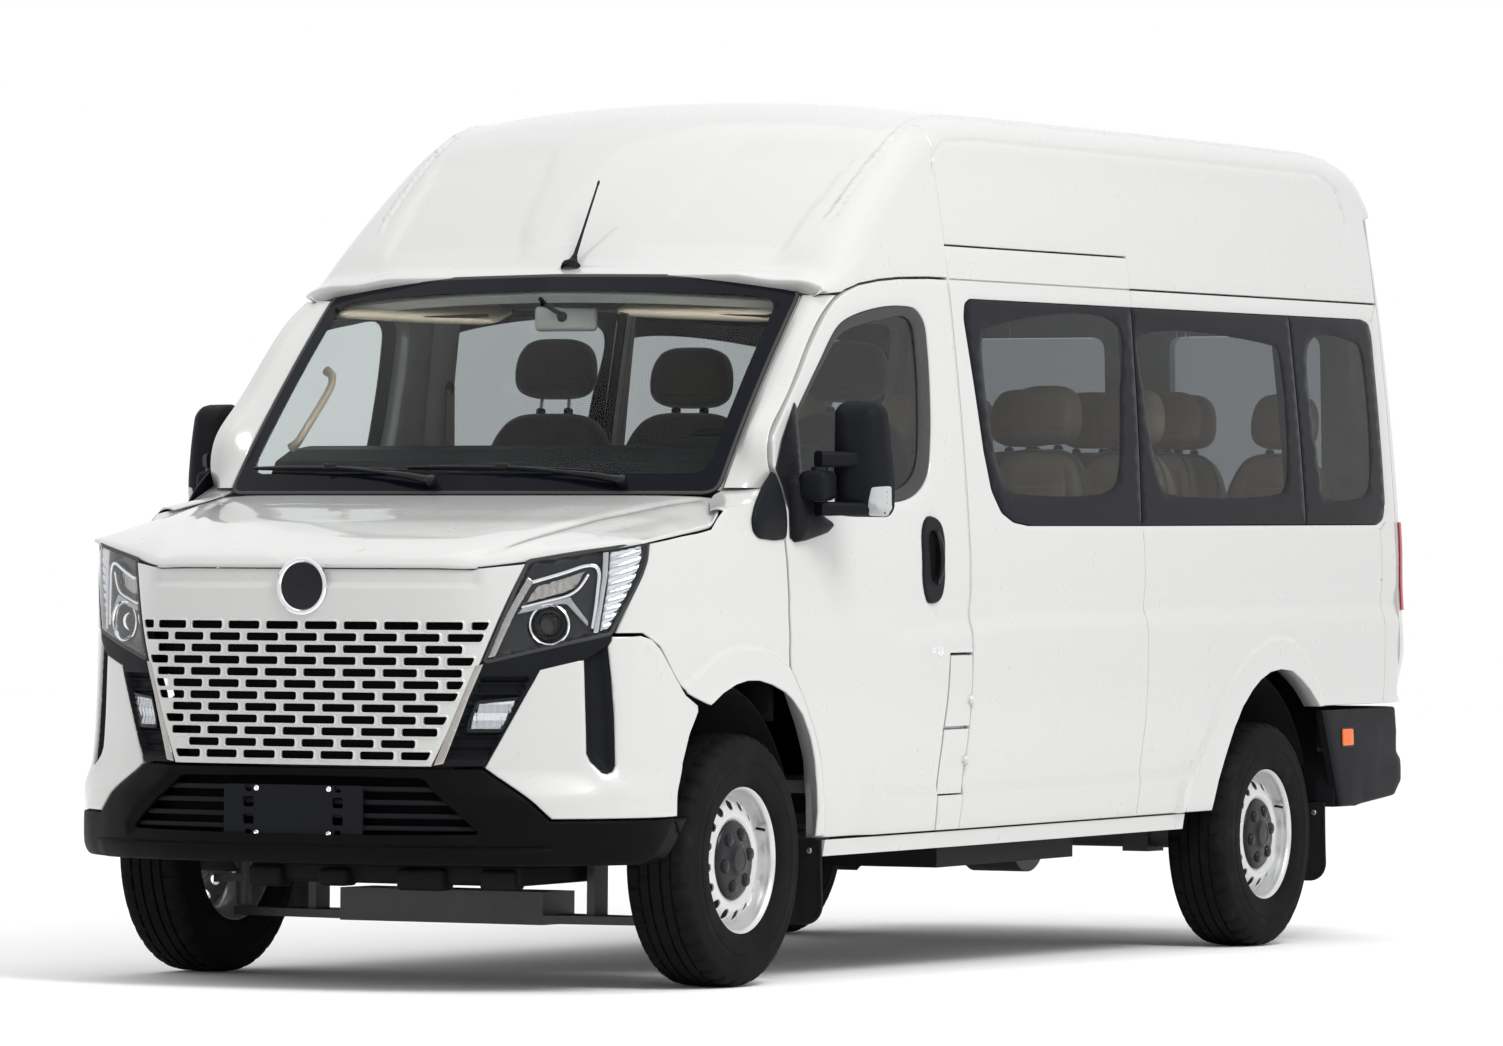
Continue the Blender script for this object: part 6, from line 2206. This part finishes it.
for sgn, tag in ((1, "left"), (-1, "right")):
    P = []
    for y in np.linspace(-128, 186, 30):
        zo = float(np.interp(y, [-128, -115, 55, 190], [1362, 1367, 1385, 1435]))
        zi = float(np.interp(y, [-128, 0, 60, 188], [1364, 1397, 1412, 1438]))
        xi = float(np.interp(y, [-128, -40, 30, 188], [880, 832, 808, 800]))
        xo = float(side_x(np.array([y]), np.array([zo]))[0]) - 2.5
        v = np.linspace(0, 1, 10)
        top = np.stack([xi + (xo - xi) * v, y + 0 * v, zi + (zo - zi) * v + 5.0 * np.sin(math.pi * v) - 1.5 * v**6], 1)
        low = top[::-1] - np.array([0, 0, 4.0])
        P.append(np.concatenate([top, low]) * np.array([sgn, 1, 1]))
    solid_grid("cowl_corner_" + tag, P, ["paint"], "body", "white_paint")
    zs = np.array([1425, 1485, 1560, 1650, 1750, 1850, 1940, 1985.0])
    yd = np.array([190.8, 158.0, 165.1, 251.0, 359.8, 458.0, 571.0, 653.0]) - 8
    xw = 806 - (zs - 1412) * 24 / 596.0 + 4
    yw = screen_y(xw, zs) + 2
    xo = side_x(yd, zs)
    mid = np.stack([xw + (xo - xw) * 0.45, np.minimum(yw, yd) - 12 + 0.25 * (yd - yw)], 1)
    out = np.stack([xo - 12, np.where(yd - 6 > yw - 60, yd - 6, yd)], 1)
    K = [np.stack([xw, yw], 1), mid, out, np.stack([xo - 2, yd], 1), np.stack([xo - 50, yd], 1), np.stack([xw + 14, np.maximum(yw, yd) + 40], 1), np.stack([xw, yw + 20], 1)]
    zz = np.linspace(1426, 1984, 64)
    KK = []
    for q_ in K:
        cs = spline(np.column_stack([zs, q_]), 200)
        KK.append(np.stack([np.interp(zz, cs[:, 0], cs[:, 1]), np.interp(zz, cs[:, 0], cs[:, 2])], 1))
    P = []
    for i, z in enumerate(zz):
        pts = [k_[i] for k_ in KK]
        ring = []
        for j, a_ in enumerate(pts):
            if j == 1:
                ring.append(a_)
                continue
            b_, c_ = pts[j - 1], pts[(j + 1) % 7]
            for q_ in (b_, c_):
                d_ = q_ - a_
                L_ = max(1e-6, float(np.hypot(*d_)))
                ring.append(a_ + d_ * min(5.0, L_ * 0.3) / L_)
        for _ in range(2):
            nx = ring[1:] + ring[:1]
            ring = [w_ for a_, b_ in zip(ring, nx) for w_ in (a_ * 0.75 + b_ * 0.25, a_ * 0.25 + b_ * 0.75)]
        P.append([(sgn * a_[0], a_[1], z) for a_ in ring])
    o = solid_grid("screen_pillar_" + tag, P, ["paint"], "body", "white_paint")
    if sgn > 0:
        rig.replaces(o, "a_pillars")
    # door lock below the handle
    lk = side_point(1146, 951)
    lathe("door_lock_" + tag, [(-3.0, 0.2), (-3.0, 15.5), (1.2, 15.5), (2.6, 14.0), (3.0, 11.5), (2.2, 10.8), (2.2, 3.6), (2.6, 3.0), (2.6, 0.2)], (sgn * lk[0], lk[1], lk[2]), (sgn, 0, 0), "chrome", "front_door_" + tag, "cast_metal", 40)

# --- rear bumper ---------------------------------------------------------------------------------
BPL = spline(np.array([(0, 4770), (500, 4769), (790, 4766), (870, 4757), (918, 4734), (942, 4680), (952, 4600), (962, 4450), (975, 4180), (977, 3960)], float), 110)
BPT = np.gradient(BPL, axis=0)
BPT /= np.hypot(BPT[:, 0], BPT[:, 1])[:, None]
BPN = np.stack([BPT[:, 1], -BPT[:, 0]], 1)
if (BPN[0] * np.array([0, -1])).sum() < 0:
    BPN = -BPN
REAR_Z = np.array([380, 428, 475, 520, 546, 572, 600, 641, 690, 712, 722.0])
REAR_Y = np.array([4700, 4700, 4764, 4764, 4758, 4721, 4719, 4722, 4706, 4692, 4688.0])
cols = []
for k in range(len(BPL)):
    x0_, y0_ = BPL[k]
    zb = float(np.interp(y0_, [3960, 4107, 4200, 4679, 4767], [403, 403, 402, 430, 477])) + 1.5
    f = max(0.0, 1 - (len(BPL) - 1 - k) / 5.0)
    curl = 7.0 * (1 - math.sqrt(max(0.0, 1 - f * f)))
    ring = []
    prof = [(24, 704), (20, 720.5), (9, 721), (3.5, 719), (1.0, 715.5), (0, 709)]
    prof += [(0, z_) for z_ in np.linspace(700, zb + 14, 26)] + [(0.8, zb + 7), (3.0, zb + 3), (8.0, zb + 0.6), (20, zb), (24, zb + 12)]
    for ins, z_ in prof:
        q_ = BPL[k] + BPN[k] * (ins + curl + 0.6)
        w_ = float(smooth(np.array([y0_]), 4590, 4725)[0])
        yy = q_[1] - (4770 - float(np.interp(z_, REAR_Z, REAR_Y))) * w_
        yf = float(np.interp(z_, [401, 725], [4110, 3963]))
        if y0_ < 4300:
            yy = yf + (yy - 3960) * (4300 - yf) / 340.0
        ring.append((q_[0], yy, z_))
    cols.append(ring)
cols = np.array(cols)
full_cols = np.concatenate([cols[::-1][:-1] * np.array([-1.0, 1, 1]), cols])
o = solid_grid("rear_bumper_skin", full_cols, ["plastic"], "body", "dark_plastic")
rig.replaces(o, "rear_bumper")
for sgn, tag in ((1, "left"), (-1, "right")):
    rounded_box("arch_closing_" + tag, (sgn * 770 - 135, 4066, 424), (sgn * 770 + 135, 4072, 890), 2.5, "deep_black", "body", "dark_plastic")
    rounded_box("flap_carrier_" + tag, (sgn * 870 - 92, 4080, 405), (sgn * 870 + 92, 4087, 585), 3.0, "plastic", "body", "dark_plastic")
rounded_box("splash_shield", (-440, -430, 306), (440, 60, 368), 16, "underbody", "body", "dark_plastic")
for i, (bx_, by_, bz_, w_, h_) in enumerate(((-380, -440, 292, 110, 60), (-150, -452, 298, 90, 50), (130, -446, 290, 150, 62), (375, -440, 296, 110, 56))):
    rounded_box("underside_lug_%d" % i, (bx_ - w_ / 2, by_ - 14, bz_), (bx_ + w_ / 2, by_ + 60, bz_ + h_), 12, "underbody", "body", "dark_plastic")


# ---------------------------------------------------------------------------
# kept CAD nodes
# ---------------------------------------------------------------------------
paint_nodes(["mud_flaps", "wipers", "antenna"], "plastic")
paint_nodes(["side_strips", "rear_pillars", "rear_door_left", "rear_door_right", "filler_flap_upper", "filler_flap_lower"], "paint")
paint_nodes(["rear_glass_left", "rear_glass_right"], "glass_tint")
paint_nodes(["tail_lamps"], "red_lens")
paint_nodes(["chassis_frame", "front_wheelhouses", "rear_wheelhouses", "bulkhead", "fuel_tank"], "underbody")
paint_nodes(["floor_pan"], "floor_mat")
paint_nodes(["engine_block", "knuckle_left", "knuckle_right", "front_suspension", "rear_axle"], "cast")
paint_nodes(["exhaust"], "steel")
paint_nodes(["dashboard", "steering_column", "steering_wheel"], "plastic")
paint_nodes(["front_seats"], "cloth")
paint_nodes(["passenger_seats"], "leather")
for w in ("front_left", "front_right", "rear_left", "rear_right"):
    paint_nodes(["tyre_" + w], "tyre")
    paint_nodes(["rim_" + w], "wheel_paint")

# ---------------------------------------------------------------------------
# floor, light, camera
# ---------------------------------------------------------------------------
me = bpy.data.meshes.new("ground")
me.from_pydata([(-60, -60, 0), (60, -60, 0), (60, 60, 0), (-60, 60, 0)], [], [(0, 1, 2, 3)])
ground = bpy.data.objects.new("ground", me)
bpy.context.scene.collection.objects.link(ground)
gm, gnt, gb = new_mat("ground_pale")
gn = tex_noise(gnt, 0.4, 3.0)
gr = ramp(gnt, gn.outputs[0], [(0.3, (0.93, 0.93, 0.93)), (0.7, (0.96, 0.96, 0.96))])
gnt.links.new(gr.outputs[0], gb.inputs["Base Color"])
gb.inputs["Roughness"].default_value = 0.9
me.materials.append(gm)
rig.stage(ground)

world = bpy.data.worlds.new("studio")
bpy.context.scene.world = world
world.use_nodes = True
world.node_tree.nodes["Background"].inputs[0].default_value = (1.0, 1.0, 1.0, 1)
wt = world.node_tree
wc = wt.nodes.new("ShaderNodeTexCoord")
ws = wt.nodes.new("ShaderNodeSeparateXYZ")
wt.links.new(wc.outputs["Generated"], ws.inputs[0])
wu = wt.nodes.new("ShaderNodeMapRange")
wu.interpolation_type = 'SMOOTHSTEP'
for k_, v_ in (("From Min", 0.15), ("From Max", 0.95), ("To Min", 1.0), ("To Max", 1.15)):
    wu.inputs[k_].default_value = v_
wt.links.new(ws.outputs["Z"], wu.inputs["Value"])
wf = wt.nodes.new("ShaderNodeMapRange")
wf.interpolation_type = 'SMOOTHSTEP'
for k_, v_ in (("From Min", -0.95), ("From Max", -0.05), ("To Min", 0.85), ("To Max", 1.0)):
    wf.inputs[k_].default_value = v_
wt.links.new(ws.outputs["Y"], wf.inputs["Value"])
wm = wt.nodes.new("ShaderNodeMath")
wm.operation = 'MULTIPLY'
wt.links.new(wu.outputs[0], wm.inputs[0])
wt.links.new(wf.outputs[0], wm.inputs[1])
wt.links.new(wm.outputs[0], wt.nodes["Background"].inputs[1])


def area(name, loc, target, size, power, size_y=None):
    l = bpy.data.lights.new(name, 'AREA')
    l.energy = power
    l.size = size
    if size_y:
        l.shape = 'RECTANGLE'
        l.size_y = size_y
    o = bpy.data.objects.new(name, l)
    o.location = loc
    o.rotation_euler = (Vector(target) - Vector(loc)).to_track_quat('-Z', 'Y').to_euler()
    bpy.context.scene.collection.objects.link(o)
    return o


area("key", (7.6, -4.6, 8.8), (0, 0, 1.0), 4.0, 780)
area("top", (0, 0, 9.0), (0, 0, 0), 8.0, 60)

cam = bpy.data.cameras.new("camera")
co = bpy.data.objects.new("camera", cam)
bpy.context.scene.collection.objects.link(co)
az, pit, roll = math.radians(27.628), math.radians(-0.647), math.radians(0.406)
right = np.array([math.cos(az), math.sin(az), 0])
fwd = np.array([-math.sin(az) * math.cos(pit), math.cos(az) * math.cos(pit), -math.sin(pit)])
up = np.cross(right, fwd)
r0 = right * math.cos(roll) + up * math.sin(roll)
r1 = -right * math.sin(roll) + up * math.cos(roll)
co.matrix_world = Matrix(((r0[0], r1[0], -fwd[0], 11.767), (r0[1], r1[1], -fwd[1], -22.793), (r0[2], r1[2], -fwd[2], 1.069), (0, 0, 0, 1)))
cam.sensor_width = 36.0
cam.lens = 8351.45 * 36.0 / 1503.0
cam.shift_x = 0.0222
cam.shift_y = -0.0064
cam.clip_end = 300
cam.dof.use_dof = False
bpy.context.scene.camera = co
bpy.context.scene.view_settings.view_transform = 'Standard'

VIS_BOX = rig.bounds()
json.dump({"cad": [[float(v) for v in p] for p in CAD_BOX], "visual": [[float(v) for v in p] for p in VIS_BOX]}, open("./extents.json", "w"))
